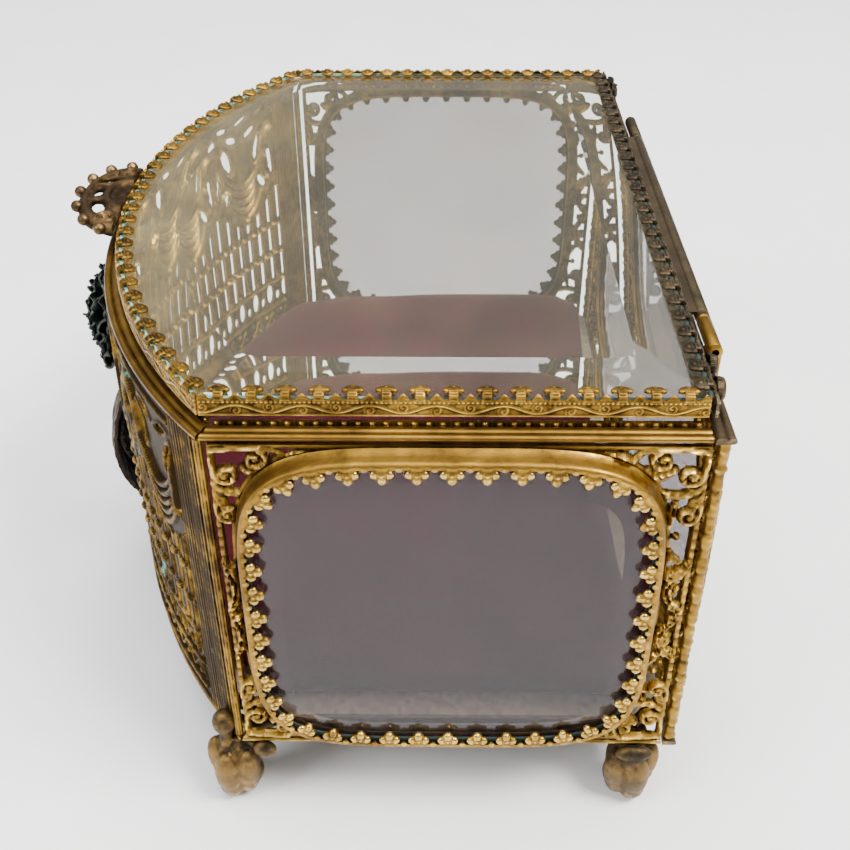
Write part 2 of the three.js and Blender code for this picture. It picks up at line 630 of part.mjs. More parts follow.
// A fan-shaped tab with a ball at each lobe of its rim, sloping up away from the lid.
function lidPull() {
  const outline = [];
  for (let i = 0; i <= 24; i += 1) {
    const angle = Math.PI + (Math.PI * i) / 24;
    const lobe = 0.5 * Math.abs(Math.sin((PULL_LOBES * (angle - Math.PI)) / 2));
    outline.push(new THREE.Vector2(PULL_HALF * Math.cos(angle), (PULL_REACH + lobe) * Math.sin(angle)));
  }
  const holes = [-1, 0, 1].map((i) => petal(i * 6.4, -3.2, 1.7, 1.5, 0, 0, 8));
  const tab = slab(outline, -PULL_THICK / 2, PULL_THICK / 2, holes);
  const balls = [];
  for (let i = 0; i < PULL_LOBES; i += 1) {
    const angle = Math.PI + (Math.PI * (i + 0.5)) / PULL_LOBES;
    balls.push(ball(1.4, PULL_HALF * Math.cos(angle), (PULL_REACH + 0.4) * Math.sin(angle), 0, 1, 0));
  }
  const root = LID_CENTRE_Y - LID_RADIUS - GAP - 0.5;
  return join(tab, ...balls).rotateX(-PULL_RISE).translate(0, root, PULL_MIDDLE);
}

add('lid_pull', lidPull(), wornGilt);

for (const [side, sign] of [['left', -1], ['right', 1]]) {
  const back = LID_BACK + GAP;
  const scroll = capsule(-SCROLL_HALF, 0, SCROLL_HALF, 0, SCROLL_RADIUS, 0, SCROLL_THICK).rotateX(Math.PI / 2);
  scroll.translate(sign * SCROLL_X, back + SCROLL_THICK, SCROLL_Z);
  add(`lid_scroll_${side}`, scroll, wornGilt);
}

// ---- applied rose and leaf on the front ---------------------------------------------------------
function rose() {
  const face = BOW_CENTRE_Y - BOW_RADIUS - 1.2;
  const back = rod(6, 5.4, 12, 'z').rotateX(Math.PI / 2).translate(0, face - 2.1, ROSE_Z);
  const petals = [];
  for (let i = 0; i < 5; i += 1) {
    const angle = Math.PI / 2 + (2 * Math.PI * i) / 5;
    const x = 7.6 * Math.cos(angle);
    const z = ROSE_Z + 7.6 * Math.sin(angle);
    petals.push(ball(6, x, face - 3, z, 0.42));
  }
  const heart = ball(5, 0, face - 5, ROSE_Z, 0.9);
  return join(back, ...petals, heart);
}
add('rose_ornament', rose(), darkBronze);

function leafShape(halfWidth, top, bottom) {
  const points = [];
  const steps = 10;
  const widthAt = (t) => halfWidth * Math.sin(Math.PI * t) ** 0.75;
  for (let i = 0; i <= steps; i += 1) {
    const t = i / steps;
    points.push(new THREE.Vector2(-widthAt(t), top + (bottom - top) * t));
  }
  for (let i = steps - 1; i > 0; i -= 1) {
    const t = i / steps;
    points.push(new THREE.Vector2(widthAt(t), top + (bottom - top) * t));
  }
  return points;
}

function leaf() {
  const face = BOW_CENTRE_Y - BOW_RADIUS - GAP;
  const blade = slab(leafShape(LEAF_HALF, LEAF_TOP - 1, LEAF_BOTTOM), 0, 1.6).rotateX(Math.PI / 2);
  const position = blade.attributes.position;
  for (let i = 0; i < position.count; i += 1) {
    const t = (position.getZ(i) - LEAF_BOTTOM) / (LEAF_TOP - LEAF_BOTTOM);
    const swell = LEAF_SWELL * Math.max(Math.sin(Math.PI * t), 0) ** 0.6 + 0.5;
    position.setY(i, position.getY(i) + face - swell);
  }
  const stud = rod(1.5, 8, 10, 'z').rotateX(Math.PI / 2).translate(0, face - 4, 27);
  const stem = capsule(0, LEAF_TOP - 6, 0, LEAF_TOP - 0.4, 0.9, 0, 1.8).rotateX(Math.PI / 2);
  stem.translate(0, face - 2.2, 0);
  return join(blade, stud, stem);
}
add('leaf_ornament', leaf(), darkBronze);

// ---- origin at the bottom centre of the whole box -----------------------------------------------
const bounds = new THREE.Box3().setFromObject(casket);
const middle = bounds.getCenter(new THREE.Vector3());
casket.position.set(-middle.x, -middle.y, -bounds.min.z);
casket.updateMatrixWorld(true);

export default casket;
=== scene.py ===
import json
import math

import bpy
import numpy as np
from mathutils import Matrix, Vector


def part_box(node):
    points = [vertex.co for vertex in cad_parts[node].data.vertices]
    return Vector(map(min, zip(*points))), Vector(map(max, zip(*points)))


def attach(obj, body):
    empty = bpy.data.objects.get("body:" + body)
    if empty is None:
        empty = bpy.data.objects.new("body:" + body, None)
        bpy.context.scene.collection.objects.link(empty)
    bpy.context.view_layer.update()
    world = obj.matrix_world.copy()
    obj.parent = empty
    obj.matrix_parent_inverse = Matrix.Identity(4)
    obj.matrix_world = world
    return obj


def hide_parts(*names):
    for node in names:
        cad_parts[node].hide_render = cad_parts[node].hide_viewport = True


# Looks of the vanity trinket box: stamped gilt scrollwork, gallery strips with folded prongs,
# bevelled glass, paw feet, an applied rose and a velvet cushion. Helpers work in millimetres.

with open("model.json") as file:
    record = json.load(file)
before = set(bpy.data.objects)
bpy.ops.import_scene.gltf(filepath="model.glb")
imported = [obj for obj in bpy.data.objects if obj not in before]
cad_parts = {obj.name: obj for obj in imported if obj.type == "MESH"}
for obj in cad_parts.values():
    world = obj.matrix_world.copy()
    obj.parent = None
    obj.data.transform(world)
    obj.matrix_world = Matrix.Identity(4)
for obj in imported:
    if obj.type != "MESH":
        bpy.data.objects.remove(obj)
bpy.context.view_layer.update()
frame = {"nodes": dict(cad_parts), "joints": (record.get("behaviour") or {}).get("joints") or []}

MM = 0.001


def corners(node):
    """Lowest and highest corner of a CAD node, in millimetres."""
    low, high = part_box(node)
    return np.array(low) / MM, np.array(high) / MM


# ---- sizes taken from the frame ----------------------------------------------
end_low, end_high = corners("end_filigree_right")
_, back_high = corners("back_filigree")
_, front_high = corners("front_filigree")
ledge_low, ledge_high = corners("top_ledge_front")
lid_low, _ = corners("lid_gallery_front")
side_low, side_high = corners("lid_gallery_right")
lid_back_low, lid_back_high = corners("lid_gallery_back")

MIDDLE_Y = (end_low[1] + end_high[1]) / 2
END_FACE = end_high[0]  # outer face of an end panel
END_HALF = (end_high[1] - end_low[1]) / 2
BACK_FACE = back_high[1]
BACK_HALF = back_high[0]
PANEL_BOTTOM = end_low[2]
PANEL_TOP = end_high[2]
BOW_RADIUS = 106.4  # outer face of the bowed front panel
LEDGE_OUT = 0.6  # how far the ledge stands proud of the panels
LEDGE_IN = 2.4  # how far it reaches inside them
LIP_INSET = 2.7  # outer face of the beaded lip, inside the panel face
BOW_CENTRE_Y = ledge_low[1] + BOW_RADIUS + LEDGE_OUT
FRONT_HALF = BOW_RADIUS * math.asin(front_high[0] / BOW_RADIUS)
LEDGE_BOTTOM = ledge_low[2]
LEDGE_TOP = ledge_high[2]
LID_RADIUS = 108.7
LID_CENTRE_Y = lid_low[1] + LID_RADIUS
LID_SIDE = side_high[0]  # outer face of the lid's side strips
LID_BACK = lid_back_high[1]
BAND_BOTTOM = lid_low[2]
GAP = 0.3
HINGE_AT = np.array(frame["joints"][0]["pos_m"]) / MM
FOOT_NAMES = ("front_left", "front_right", "back_left", "back_right")


# ---- points and faces --------------------------------------------------------
class Skin:
    """Points, faces and tones of one piece. Tone is 0 in dirty hollows, which also get painted shade, and 1
    on rubbed edges; on some pieces it also holds painted shade and painted light on whole faces.
    """

    def __init__(self):
        self.points, self.faces, self.tones, self.count = [], [], [], 0

    def add(self, points, faces, tone=0.6, finish=0):
        """Faces is a list of (n, k) arrays of point numbers; finish picks the material."""
        points = np.asarray(points, float).reshape(-1, 3)
        for group in faces:
            self.faces.append((np.asarray(group, int) + self.count, finish))
        self.points.append(points)
        self.tones.append(np.broadcast_to(tone, len(points)).astype(float))
        self.count += len(points)

    def mesh(self, name):
        made = bpy.data.meshes.new(name)
        points = np.concatenate(self.points) * MM
        made.vertices.add(len(points))
        made.vertices.foreach_set("co", points.astype(np.float32).ravel())
        loops = np.concatenate([group.ravel() for group, _ in self.faces])
        sizes = np.concatenate([np.full(len(g), g.shape[1]) for g, _ in self.faces])
        finishes = np.concatenate([np.full(len(g), f) for g, f in self.faces])
        made.loops.add(len(loops))
        made.loops.foreach_set("vertex_index", loops.astype(np.int32))
        made.polygons.add(len(sizes))
        starts = np.concatenate([[0], np.cumsum(sizes)[:-1]])
        made.polygons.foreach_set("loop_start", starts.astype(np.int32))
        made.polygons.foreach_set("material_index", finishes.astype(np.int32))
        made.update(calc_edges=True)
        made.validate()
        tone = made.attributes.new("tone", "FLOAT", "POINT")
        tone.data.foreach_set("value", np.concatenate(self.tones).astype(np.float32))
        return made


def place_piece(name, skin, finishes, body, nodes, sharp=38):
    """Makes the object, gives it its materials, and ties it to the frame."""
    mesh = skin.mesh(name)
    for finish in finishes:
        mesh.materials.append(finish)
    made = bpy.data.objects.new(name, mesh)
    bpy.context.scene.collection.objects.link(made)
    mesh.shade_smooth()
    mesh.set_sharp_from_angle(angle=math.radians(sharp))
    tie(made, body, nodes)
    return made


def tie(made, body, nodes):
    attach(made, body)
    if nodes:
        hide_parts(*nodes)


def grid_faces(rows, columns, wrap_rows=False, wrap_columns=False):
    """Quads over a rows x columns grid of points, facing the side where columns turn left of rows."""
    row = np.arange(rows if wrap_rows else rows - 1)
    column = np.arange(columns if wrap_columns else columns - 1)
    i, j = [a.ravel() for a in np.meshgrid(row, column, indexing="ij")]
    i2, j2 = (i + 1) % rows, (j + 1) % columns
    return np.stack([i * columns + j, i2 * columns + j, i2 * columns + j2, i * columns + j2], 1)


def tube(skin, loops, tone=0.6, finish=0, ring=False):
    """A skin through loops of points, shape (rows, columns, 3). Capped at both ends unless it's a ring."""
    loops = np.asarray(loops, float)
    rows, columns = loops.shape[:2]
    faces = [grid_faces(rows, columns, wrap_rows=ring, wrap_columns=True)]
    if not ring:
        faces.append(np.arange(columns)[None, :])
        faces.append((np.arange(columns)[::-1] + (rows - 1) * columns)[None, :])
    points = loops.reshape(-1, 3)
    if volume(points - points.mean(0), faces) < 0:
        faces = [group[:, ::-1] for group in faces]
    skin.add(loops, faces, tone, finish)


def volume(points, faces):
    """Signed volume inside closed faces; negative when they face inwards."""
    total = 0.0
    for group in faces:
        first = points[group[:, 0]]
        for k in range(1, group.shape[1] - 1):
            total += np.einsum("ij,ij->", first, np.cross(points[group[:, k]], points[group[:, k + 1]]))
    return total / 6


def shell(skin, grid, thickness, tone=0.6, finish=0):
    """A thin sheet with a front and a back from a (rows, columns, 3) grid of points."""
    grid = np.asarray(grid, float)
    rows, columns = grid.shape[:2]
    along = np.gradient(grid, axis=0)
    across = np.gradient(grid, axis=1)
    normal = np.cross(along, across)
    normal /= np.maximum(np.linalg.norm(normal, axis=2, keepdims=True), 1e-9)
    back = grid - normal * thickness
    front = grid_faces(rows, columns)
    edge = np.concatenate([
        np.arange(rows) * columns,
        (rows - 1) * columns + np.arange(1, columns),
        np.arange(rows - 2, -1, -1) * columns + columns - 1,
        np.arange(columns - 2, 0, -1),
    ])
    after = np.roll(edge, -1)
    count = rows * columns
    rim = np.stack([after, edge, edge + count, after + count], 1)
    both = np.concatenate([grid.reshape(-1, 3), back.reshape(-1, 3)])
    tones = np.broadcast_to(tone, (rows, columns)).ravel()
    skin.add(both, [front, front[:, ::-1] + count, rim], np.concatenate([tones, tones]), finish)


def ellipsoid(skin, centre, radii, turn=None, rows=10, columns=14, tone=0.6, finish=0):
    """A closed egg shape; turn is a 3x3 rotation."""
    polar = np.linspace(0.02, math.pi - 0.02, rows)
    angle = np.linspace(0, 2 * math.pi, columns, endpoint=False)
    p, a = np.meshgrid(polar, angle, indexing="ij")
    unit = np.stack([np.sin(p) * np.cos(a), np.sin(p) * np.sin(a), np.cos(p)], -1) * radii
    if turn is not None:
        unit = unit @ np.asarray(turn).T
    tube(skin, unit + centre, tone, finish)


def smooth_line(points, per=6):
    """A Catmull-Rom curve through the points."""
    points = np.asarray(points, float)
    ends = np.concatenate([[2 * points[0] - points[1]], points, [2 * points[-1] - points[-2]]])
    t = np.linspace(0, 1, per, endpoint=False)[:, None]
    parts = []
    for a, b, c, d in zip(ends, ends[1:], ends[2:], ends[3:]):
        parts.append(0.5 * (2 * b + (c - a) * t + (2 * a - 5 * b + 4 * c - d) * t**2
                            + (3 * b - a - 3 * c + d) * t**3))
    return np.concatenate(parts + [points[-1:]])


def spiral(centre, radius, start, turns, hand=1, inner=0.25, steps=26):
    """Points of a volute from its outer end to near its eye."""
    t = np.linspace(0, 1, steps)
    angle = start + hand * 2 * math.pi * turns * t
    r = radius * (1 - (1 - inner) * t)
    return np.stack([centre[0] + r * np.cos(angle), centre[1] + r * np.sin(angle)], 1)


# ---- stamped sheets ----------------------------------------------------------
def disc(x, y, cx, cy, radius):
    return radius - np.hypot(x - cx, y - cy)


def oval(x, y, cx, cy, rx, ry, turn=0.0):
    c, s = math.cos(turn), math.sin(turn)
    along, across = (x - cx) * c + (y - cy) * s, (y - cy) * c - (x - cx) * s
    return (1 - np.hypot(along / rx, across / ry)) * min(rx, ry)


def band(x, low, high):
    return np.minimum(x - low, high - x)


def dome(inside, reach, height):
    """A rounded swelling that starts at the outline and is full `reach` inside it."""
    return height * np.sqrt(np.clip(1 - (1 - np.clip(inside / reach, 0, 1)) ** 2, 0, 1))


def blurred(values, cells, wrap):
    """A soft average over about `cells` grid steps each way."""
    weight = np.hanning(2 * cells + 3)[1:-1]
    weight /= weight.sum()
    pad = ((cells, cells), (0, 0))
    values = np.pad(values, pad, mode="wrap" if wrap else "edge")
    rows = sum(w * values[k:k + len(values) - 2 * cells] for k, w in enumerate(weight))
    rows = np.pad(rows, pad[::-1], mode="edge")
    return sum(w * rows[:, k:k + rows.shape[1] - 2 * cells] for k, w in enumerate(weight))


def fold(x, period, offset=0.0):
    return (x - offset + period / 2) % period - period / 2


class Relief:
    """A stamped sheet on a grid. `metal` is the distance inside its outline and `rise` its height."""

    def __init__(self, us, vs, wrap=False, metal=-9.0):
        self.us, self.vs, self.wrap = us, vs, wrap
        self.step = vs[1] - vs[0]
        self.u, self.v = np.meshgrid(us, vs, indexing="ij")
        self.metal = np.full(self.u.shape, metal)
        self.rise = np.zeros(self.u.shape)
        # Painted shade: a grid that lowers the tone where shade falls, such as on prongs, caps and creases.
        self.painted_shade = np.zeros(self.u.shape)
        self.weight = 1.0

    def add(self, inside, lift=0.0):
        self.metal = np.maximum(self.metal, inside)
        self.rise = np.maximum(self.rise, np.where(inside > 0, lift, 0))

    def boss(self, inside, reach, height):
        """A rounded swelling over its own outline."""
        self.add(inside, dome(inside, reach, height))

    def ridge(self, distance, width, height):
        """A half-round rib; distance is measured from its middle line."""
        lift = height * np.sqrt(np.clip(1 - (distance / (width / 2)) ** 2, 0, 1))
        self.rise = np.maximum(self.rise, lift)

    def cut(self, inside, rim=0.0, width=0.6):
        """A hole, with a raised rim round it."""
        self.metal = np.minimum(self.metal, -inside)
        if rim:
            near = np.clip(1 - np.abs(inside + width / 2) / (width / 2), 0, 1)
            self.rise = np.maximum(self.rise, rim * np.sqrt(near))

    def stroke(self, points, width, height, kind="round", taper=(1.0, 1.0)):
        """A raised line along points. Width swells from taper[0] to full and back to taper[1]."""
        points = np.asarray(points, float)
        width, height = width * self.weight, height * self.weight
        pad = width + 2 * self.step
        low, high = points.min(0) - pad, points.max(0) + pad
        i0, i1 = np.searchsorted(self.us, [low[0], high[0]])
        j0, j1 = np.searchsorted(self.vs, [low[1], high[1]])
        if i1 <= i0 or j1 <= j0:
            return
        x, y = self.u[i0:i1, j0:j1], self.v[i0:i1, j0:j1]
        lengths = np.hypot(*np.diff(points, axis=0).T)
        reach = np.concatenate([[0], np.cumsum(lengths)])
        best = np.full(x.shape, 1e9)
        along = np.zeros(x.shape)
        side = np.zeros(x.shape)
        for (ax, ay), (bx, by), start, length in zip(points, points[1:], reach, lengths):
            if length < 1e-6:
                continue
            dx, dy = (bx - ax) / length, (by - ay) / length
            t = np.clip((x - ax) * dx + (y - ay) * dy, 0, length)
            px, py = x - ax - t * dx, y - ay - t * dy
            d = np.hypot(px, py)
            closer = d < best
            best = np.where(closer, d, best)
            along = np.where(closer, start + t, along)
            side = np.where(closer, np.sign(dx * py - dy * px), side)
        share = along / reach[-1]
        grow = np.sin(math.pi * share) ** 0.6
        ends = taper[0] + (taper[1] - taper[0]) * share
        half = width / 2 * (ends + (1 - ends) * grow)
        inside = half - best
        ratio = np.clip(best / np.maximum(half, 1e-3), 0, 1)
        body = np.sqrt(1 - ratio**2)
        if kind == "beaded":
            body = body * (0.62 + 0.38 * np.abs(np.cos(math.pi * along / (width * 1.1))))
        elif kind == "channel":
            body = np.sqrt(np.clip(1 - (np.abs(ratio - 0.62) / 0.42) ** 2, 0, 1)) * 0.9 + 0.18
        elif kind == "leaf":
            rib = np.clip(1 - ratio / 0.16, 0, 1) * 0.5
            veins = 0.32 * np.abs(np.sin(math.pi * (along / 0.95 - ratio * 0.9)))
            body = 0.45 * body + rib + veins * body
        region = (slice(i0, i1), slice(j0, j1))
        self.metal[region] = np.maximum(self.metal[region], inside)
        lifted = np.where(inside > 0, height * body, 0)
        self.rise[region] = np.maximum(self.rise[region], lifted)

    def build(self, skin, place, thickness, tones=(0.35, 1.0), full=0.8, painted_side_shading=(1.0, 1.0)):
        """Adds the sheet to skin; place(u, v, w) maps the flat sheet into the frame. The tones of
        its front and back are multiplied by two side factors: painted shade on a face set below 1 and painted
        light on a face set above 1. The painted shade grid darkens both."""
        metal, step = self.metal, self.step
        kept = metal > -0.5 * step
        if self.wrap:
            kept_next = np.roll(kept, -1, 0)
        else:
            kept_next = kept[1:]
            kept = kept[:-1]
        cells = kept[:, :-1] & kept[:, 1:] & kept_next[:, :-1] & kept_next[:, 1:]
        for _ in range(3):
            after = np.roll(cells, -1, 0)
            if not self.wrap:
                after[-1] = False
            lone = cells[:, :-1] & after[:, 1:] & ~cells[:, 1:] & ~after[:, :-1]
            other = cells[:, 1:] & after[:, :-1] & ~cells[:, :-1] & ~after[:, 1:]
            if not lone.any() and not other.any():
                break
            cells[:, :-1] &= ~lone
            cells[:, 1:] &= ~other
        rows, columns = metal.shape
        i, j = np.nonzero(cells)
        i2 = (i + 1) % rows
        quads = np.stack([i * columns + j, i2 * columns + j, i2 * columns + j + 1, i * columns + j + 1], 1)
        padded = np.pad(cells, ((0, 0), (1, 1)))
        before = np.roll(cells, 1, 0)
        after = np.roll(cells, -1, 0)
        if not self.wrap:
            before[0] = False
            after[-1] = False
        open_sides = [~padded[:, :-2][i, j], ~after[i, j], ~padded[:, 2:][i, j], ~before[i, j]]
        edges = [quads[is_open][:, [k, (k + 1) % 4]] for k, is_open in enumerate(open_sides)]
        edges = np.concatenate(edges)
        used, quads = np.unique(quads, return_inverse=True)
        quads = quads.reshape(-1, 4)
        edges = np.searchsorted(used, edges)
        border = np.unique(edges)
        if self.wrap:
            wide = np.concatenate([metal[-1:], metal, metal[:1]])
            gu = np.gradient(wide, axis=0)[1:-1].ravel()[used] / (self.us[1] - self.us[0])
        else:
            gu = np.gradient(metal, axis=0).ravel()[used] / (self.us[1] - self.us[0])
        gv = np.gradient(metal, axis=1).ravel()[used] / step
        depth = metal.ravel()[used]
        u, v = self.u.ravel()[used].copy(), self.v.ravel()[used].copy()
        w = self.rise.ravel()[used].copy()
        # Hollows darker and bumps lighter: partly patina in the hollows, partly painted shade in place of
        # occlusion. The painted shade grid is subtracted on top.
        hollow_depth = self.rise - blurred(self.rise, max(2, round(0.8 / step)), self.wrap)
        wear_and_shade = 0.25 + (0.5 * self.rise + 1.1 * hollow_depth) / full - self.painted_shade
        wear_and_shade = np.clip(wear_and_shade, 0, 1).ravel()[used]
        pull = depth[border] / (gu[border] ** 2 + gv[border] ** 2 + 0.05)
        limit = 0.95 * step
        u[border] -= np.clip(pull * gu[border], -limit, limit)
        v[border] -= np.clip(pull * gv[border], -limit, limit)
        w[border] *= 0.35
        v = np.clip(v, self.vs[0], self.vs[-1])
        if not self.wrap:
            u = np.clip(u, self.us[0], self.us[-1])
        count = len(used)
        front, back = place(u, v, w), place(u, v, w - thickness)
        rim = np.stack([edges[:, 1], edges[:, 0], edges[:, 0] + count, edges[:, 1] + count], 1)
        tone = tones[0] + (tones[1] - tones[0]) * wear_and_shade
        faces = [quads, quads[:, ::-1] + count, rim]
        # Painted shade and light: the side factors darken one face and brighten the other.
        skin.add(np.concatenate([front, back]), faces, np.concatenate([tone * painted_side_shading[0], tone * painted_side_shading[1]]))


# ---- where flat sheets go: u along the panel, v up, w outwards ---------------
def on_right(u, v, w):
    return np.stack([END_FACE + w, MIDDLE_Y + u, v], -1)


def on_left(u, v, w):
    return np.stack([-END_FACE - w, MIDDLE_Y - u, v], -1)


def on_back(u, v, w):
    return np.stack([-u, BACK_FACE + w, v], -1)


def on_bow(radius):
    def place(u, v, w):
        angle = u / radius
        reach = radius + w
        return np.stack([reach * np.sin(angle), BOW_CENTRE_Y - reach * np.cos(angle), v + 0 * u], -1)
    return place


# ---- materials ---------------------------------------------------------------
def new_material(name):
    material = bpy.data.materials.new(name)
    material.use_nodes = True
    tree = material.node_tree
    tree.nodes.clear()
    return material, tree


def node(tree, kind, settings=None, **inputs):
    made = tree.nodes.new("ShaderNode" + kind)
    for key, value in (settings or {}).items():
        setattr(made, key, value)
    for key, value in inputs.items():
        socket = made.inputs[key.replace("_", " ")]
        if isinstance(value, bpy.types.NodeSocket):
            tree.links.new(value, socket)
        else:
            socket.default_value = value
    return made


def mixed(tree, factor, a, b):
    """A colour mix; each of a and b is a colour or a socket."""
    made = tree.nodes.new("ShaderNodeMix")
    made.data_type = "RGBA"
    for socket, value in ((made.inputs[0], factor), (made.inputs[6], a), (made.inputs[7], b)):
        if isinstance(value, bpy.types.NodeSocket):
            tree.links.new(value, socket)
        else:
            socket.default_value = value if isinstance(value, float) else (*value, 1.0)
    return made.outputs[2]


def noise(tree, scale, detail=4.0, vector=None):
    where = vector or node(tree, "TexCoord").outputs["Object"]
    made = node(tree, "TexNoise", Vector=where, Scale=scale, Detail=detail, Roughness=0.6)
    return made.outputs["Fac"]


def ramp(tree, value, low, high, to_low=0.0, to_high=1.0):
    made = node(tree, "MapRange", {"interpolation_type": "SMOOTHSTEP"}, Value=value)
    for socket, number in zip(("From Min", "From Max", "To Min", "To Max"), (low, high, to_low, to_high)):
        made.inputs[socket].default_value = number
    return made.outputs["Result"]


def maths(tree, operation, a, b, clamp=False):
    made = tree.nodes.new("ShaderNodeMath")
    made.operation = operation
    made.use_clamp = clamp
    for socket, value in zip(made.inputs, (a, b)):
        if isinstance(value, bpy.types.NodeSocket):
            tree.links.new(value, socket)
        else:
            socket.default_value = value
    return made.outputs[0]


def plus(tree, a, b):
    return maths(tree, "ADD", a, b)


def times(tree, a, b):
    return maths(tree, "MULTIPLY", a, b)


def layered(tree, share, under, over):
    """One shader over another."""
    made = node(tree, "MixShader", Fac=share)
    tree.links.new(under.outputs[0], made.inputs[1])
    tree.links.new(over.outputs[0], made.inputs[2])
    return made


def finished(material, tree, shader):
    node(tree, "OutputMaterial", Surface=shader.outputs[0])
    return material


def bump(tree, height, strength, distance):
    made = node(tree, "Bump", Height=height, Strength=strength, Distance=distance)
    return made.outputs["Normal"]


VERDIGRIS = (0.16, 0.36, 0.27)
DARK_GREEN = (0.012, 0.028, 0.022)


def metal_finish(name, dull, gold, bright, patina, verdigris=0.62, roughness=0.3, grain=0.25):
    """Old gilt: rubbed bright on edges, brown in hollows, with spots of green corrosion. The tone it reads
    also carries painted shade and painted highlights, so the brown and the bright gold are partly painted
    light.
    """
    material, tree = new_material(name)
    tone = node(tree, "Attribute", {"attribute_name": "tone"}).outputs["Fac"]
    point = node(tree, "NewGeometry").outputs["Pointiness"]
    edge = ramp(tree, point, 0.46, 0.56)
    cloud = noise(tree, 90.0, 3.0)
    spots = noise(tree, 520.0, 5.0)
    fine = noise(tree, 2600.0, 3.0)
    wear_and_shade = plus(tree, times(tree, tone, 0.75), times(tree, edge, 0.3))
    for pattern, share in ((spots, 0.8), (cloud, 0.5)):
        wear_and_shade = plus(tree, wear_and_shade, times(tree, maths(tree, "SUBTRACT", pattern, 0.5), share))
    # Patina, gold and bright gold follow wear together with painted shade and painted highlights from the
    # tone.
    gold_share = ramp(tree, wear_and_shade, 0.2, 0.62)
    bright_share = ramp(tree, wear_and_shade, 0.72, 1.15)
    body = mixed(tree, ramp(tree, cloud, 0.35, 0.65), dull, gold)
    colour = mixed(tree, gold_share, patina, body)
    colour = mixed(tree, bright_share, colour, bright)
    bloom = ramp(tree, noise(tree, 150.0, 6.0), verdigris, verdigris + 0.07)
    green = times(tree, bloom, ramp(tree, wear_and_shade, 0.75, 0.35))
    colour = mixed(tree, green, colour, VERDIGRIS)
    rough = ramp(tree, wear_and_shade, 0.3, 1.1, roughness + 0.3, roughness)
    rough = maths(tree, "ADD", rough, times(tree, green, 0.4), clamp=True)
    metallic = maths(tree, "SUBTRACT", 1.0, times(tree, green, 0.9))
    pitted = bump(tree, plus(tree, fine, times(tree, spots, 1.4)), grain, 0.0002)
    shader = node(tree, "BsdfPrincipled", Base_Color=colour, Roughness=rough, Metallic=metallic,
                  Normal=pitted)
    return finished(material, tree, shader)


def glass_finish(name, tint, haze, haze_colour, cloudiness, streak_scale, front_veil=0.0):
    """Old bevelled glass: clear, with a thin uneven film that thickens towards the bowed front by
    `front_veil`; lamps shine through it."""
    material, tree = new_material(name)
    clear = node(tree, "BsdfGlass", Color=(*tint, 1.0), Roughness=0.015, IOR=1.5)
    film = node(tree, "BsdfDiffuse", Color=(*haze_colour, 1.0), Roughness=0.4)
    through = node(tree, "BsdfTranslucent", Color=(*haze_colour, 1.0))
    veil = layered(tree, 0.5, film, through)
    patches = ramp(tree, noise(tree, streak_scale, 5.0), 0.35, 0.75, haze, haze + cloudiness)
    if front_veil:
        where = node(tree, "SeparateXYZ", Vector=node(tree, "TexCoord").outputs["Object"])
        veil_share = ramp(tree, where.outputs["Y"], -0.005, -0.045, 0.0, front_veil)
        streaks = ramp(tree, noise(tree, 110.0, 3.0), 0.3, 0.7, 0.4, 1.2)
        patches = plus(tree, patches, times(tree, veil_share, streaks))
    dusty = layered(tree, patches, clear, veil)
    light = node(tree, "LightPath").outputs["Is Shadow Ray"]
    see = node(tree, "BsdfTransparent", Color=(*[0.9 * c for c in tint], 1.0))
    return finished(material, tree, layered(tree, light, dusty, see))


def corroded_finish(name):
    """The dark green and mint crust in the groove between the prongs."""
    material, tree = new_material(name)
    where = node(tree, "TexCoord").outputs["Object"]
    height = node(tree, "SeparateXYZ", Vector=where)
    level = times(tree, height.outputs["Z"], 6.0)
    front = times(tree, height.outputs["Y"], 5.0)
    patches = times(tree, noise(tree, 260.0), 0.5)
    fresh = ramp(tree, plus(tree, maths(tree, "SUBTRACT", level, front), patches), 0.74, 0.84)
    colour = mixed(tree, fresh, DARK_GREEN, VERDIGRIS)
    crust = noise(tree, 1500.0, 5.0)
    normal = bump(tree, crust, 0.6, 0.0003)
    shader = node(tree, "BsdfPrincipled", Base_Color=colour, Roughness=0.85, Normal=normal)
    return finished(material, tree, shader)


def velvet_finish(name):
    material, tree = new_material(name)
    nap = noise(tree, 70.0, 3.0)
    fuzz = noise(tree, 3800.0, 4.0)
    colour = mixed(tree, ramp(tree, nap, 0.35, 0.65), (0.022, 0.0006, 0.003), (0.042, 0.0012, 0.007))
    colour = mixed(tree, ramp(tree, fuzz, 0.4, 0.62), mixed(tree, 0.3, colour, (0.012, 0.0, 0.002)), colour)
    shader = node(tree, "BsdfPrincipled", Base_Color=colour, Roughness=0.92, Specular_IOR_Level=0.15,
                  Sheen_Weight=0.14, Sheen_Roughness=0.35, Sheen_Tint=(0.80, 0.35, 0.45, 1.0),
                  Normal=bump(tree, fuzz, 0.35, 0.0003))
    return finished(material, tree, shader)


def card_finish(name):
    material, tree = new_material(name)
    fibre = noise(tree, 900.0, 6.0)
    colour = mixed(tree, ramp(tree, fibre, 0.35, 0.65), (0.20, 0.15, 0.10), (0.31, 0.25, 0.18))
    normal = bump(tree, fibre, 0.3, 0.0003)
    shader = node(tree, "BsdfPrincipled", Base_Color=colour, Roughness=0.88, Normal=normal)
    return finished(material, tree, shader)


def steel_finish(name):
    material, tree = new_material(name)
    stain = noise(tree, 800.0, 5.0)
    colour = mixed(tree, ramp(tree, stain, 0.4, 0.62), (0.42, 0.40, 0.37), (0.15, 0.11, 0.08))
    shader = node(tree, "BsdfPrincipled", Base_Color=colour, Metallic=1.0,
                  Roughness=ramp(tree, stain, 0.3, 0.7, 0.3, 0.6), Normal=bump(tree, stain, 0.2, 0.0002))
    return finished(material, tree, shader)


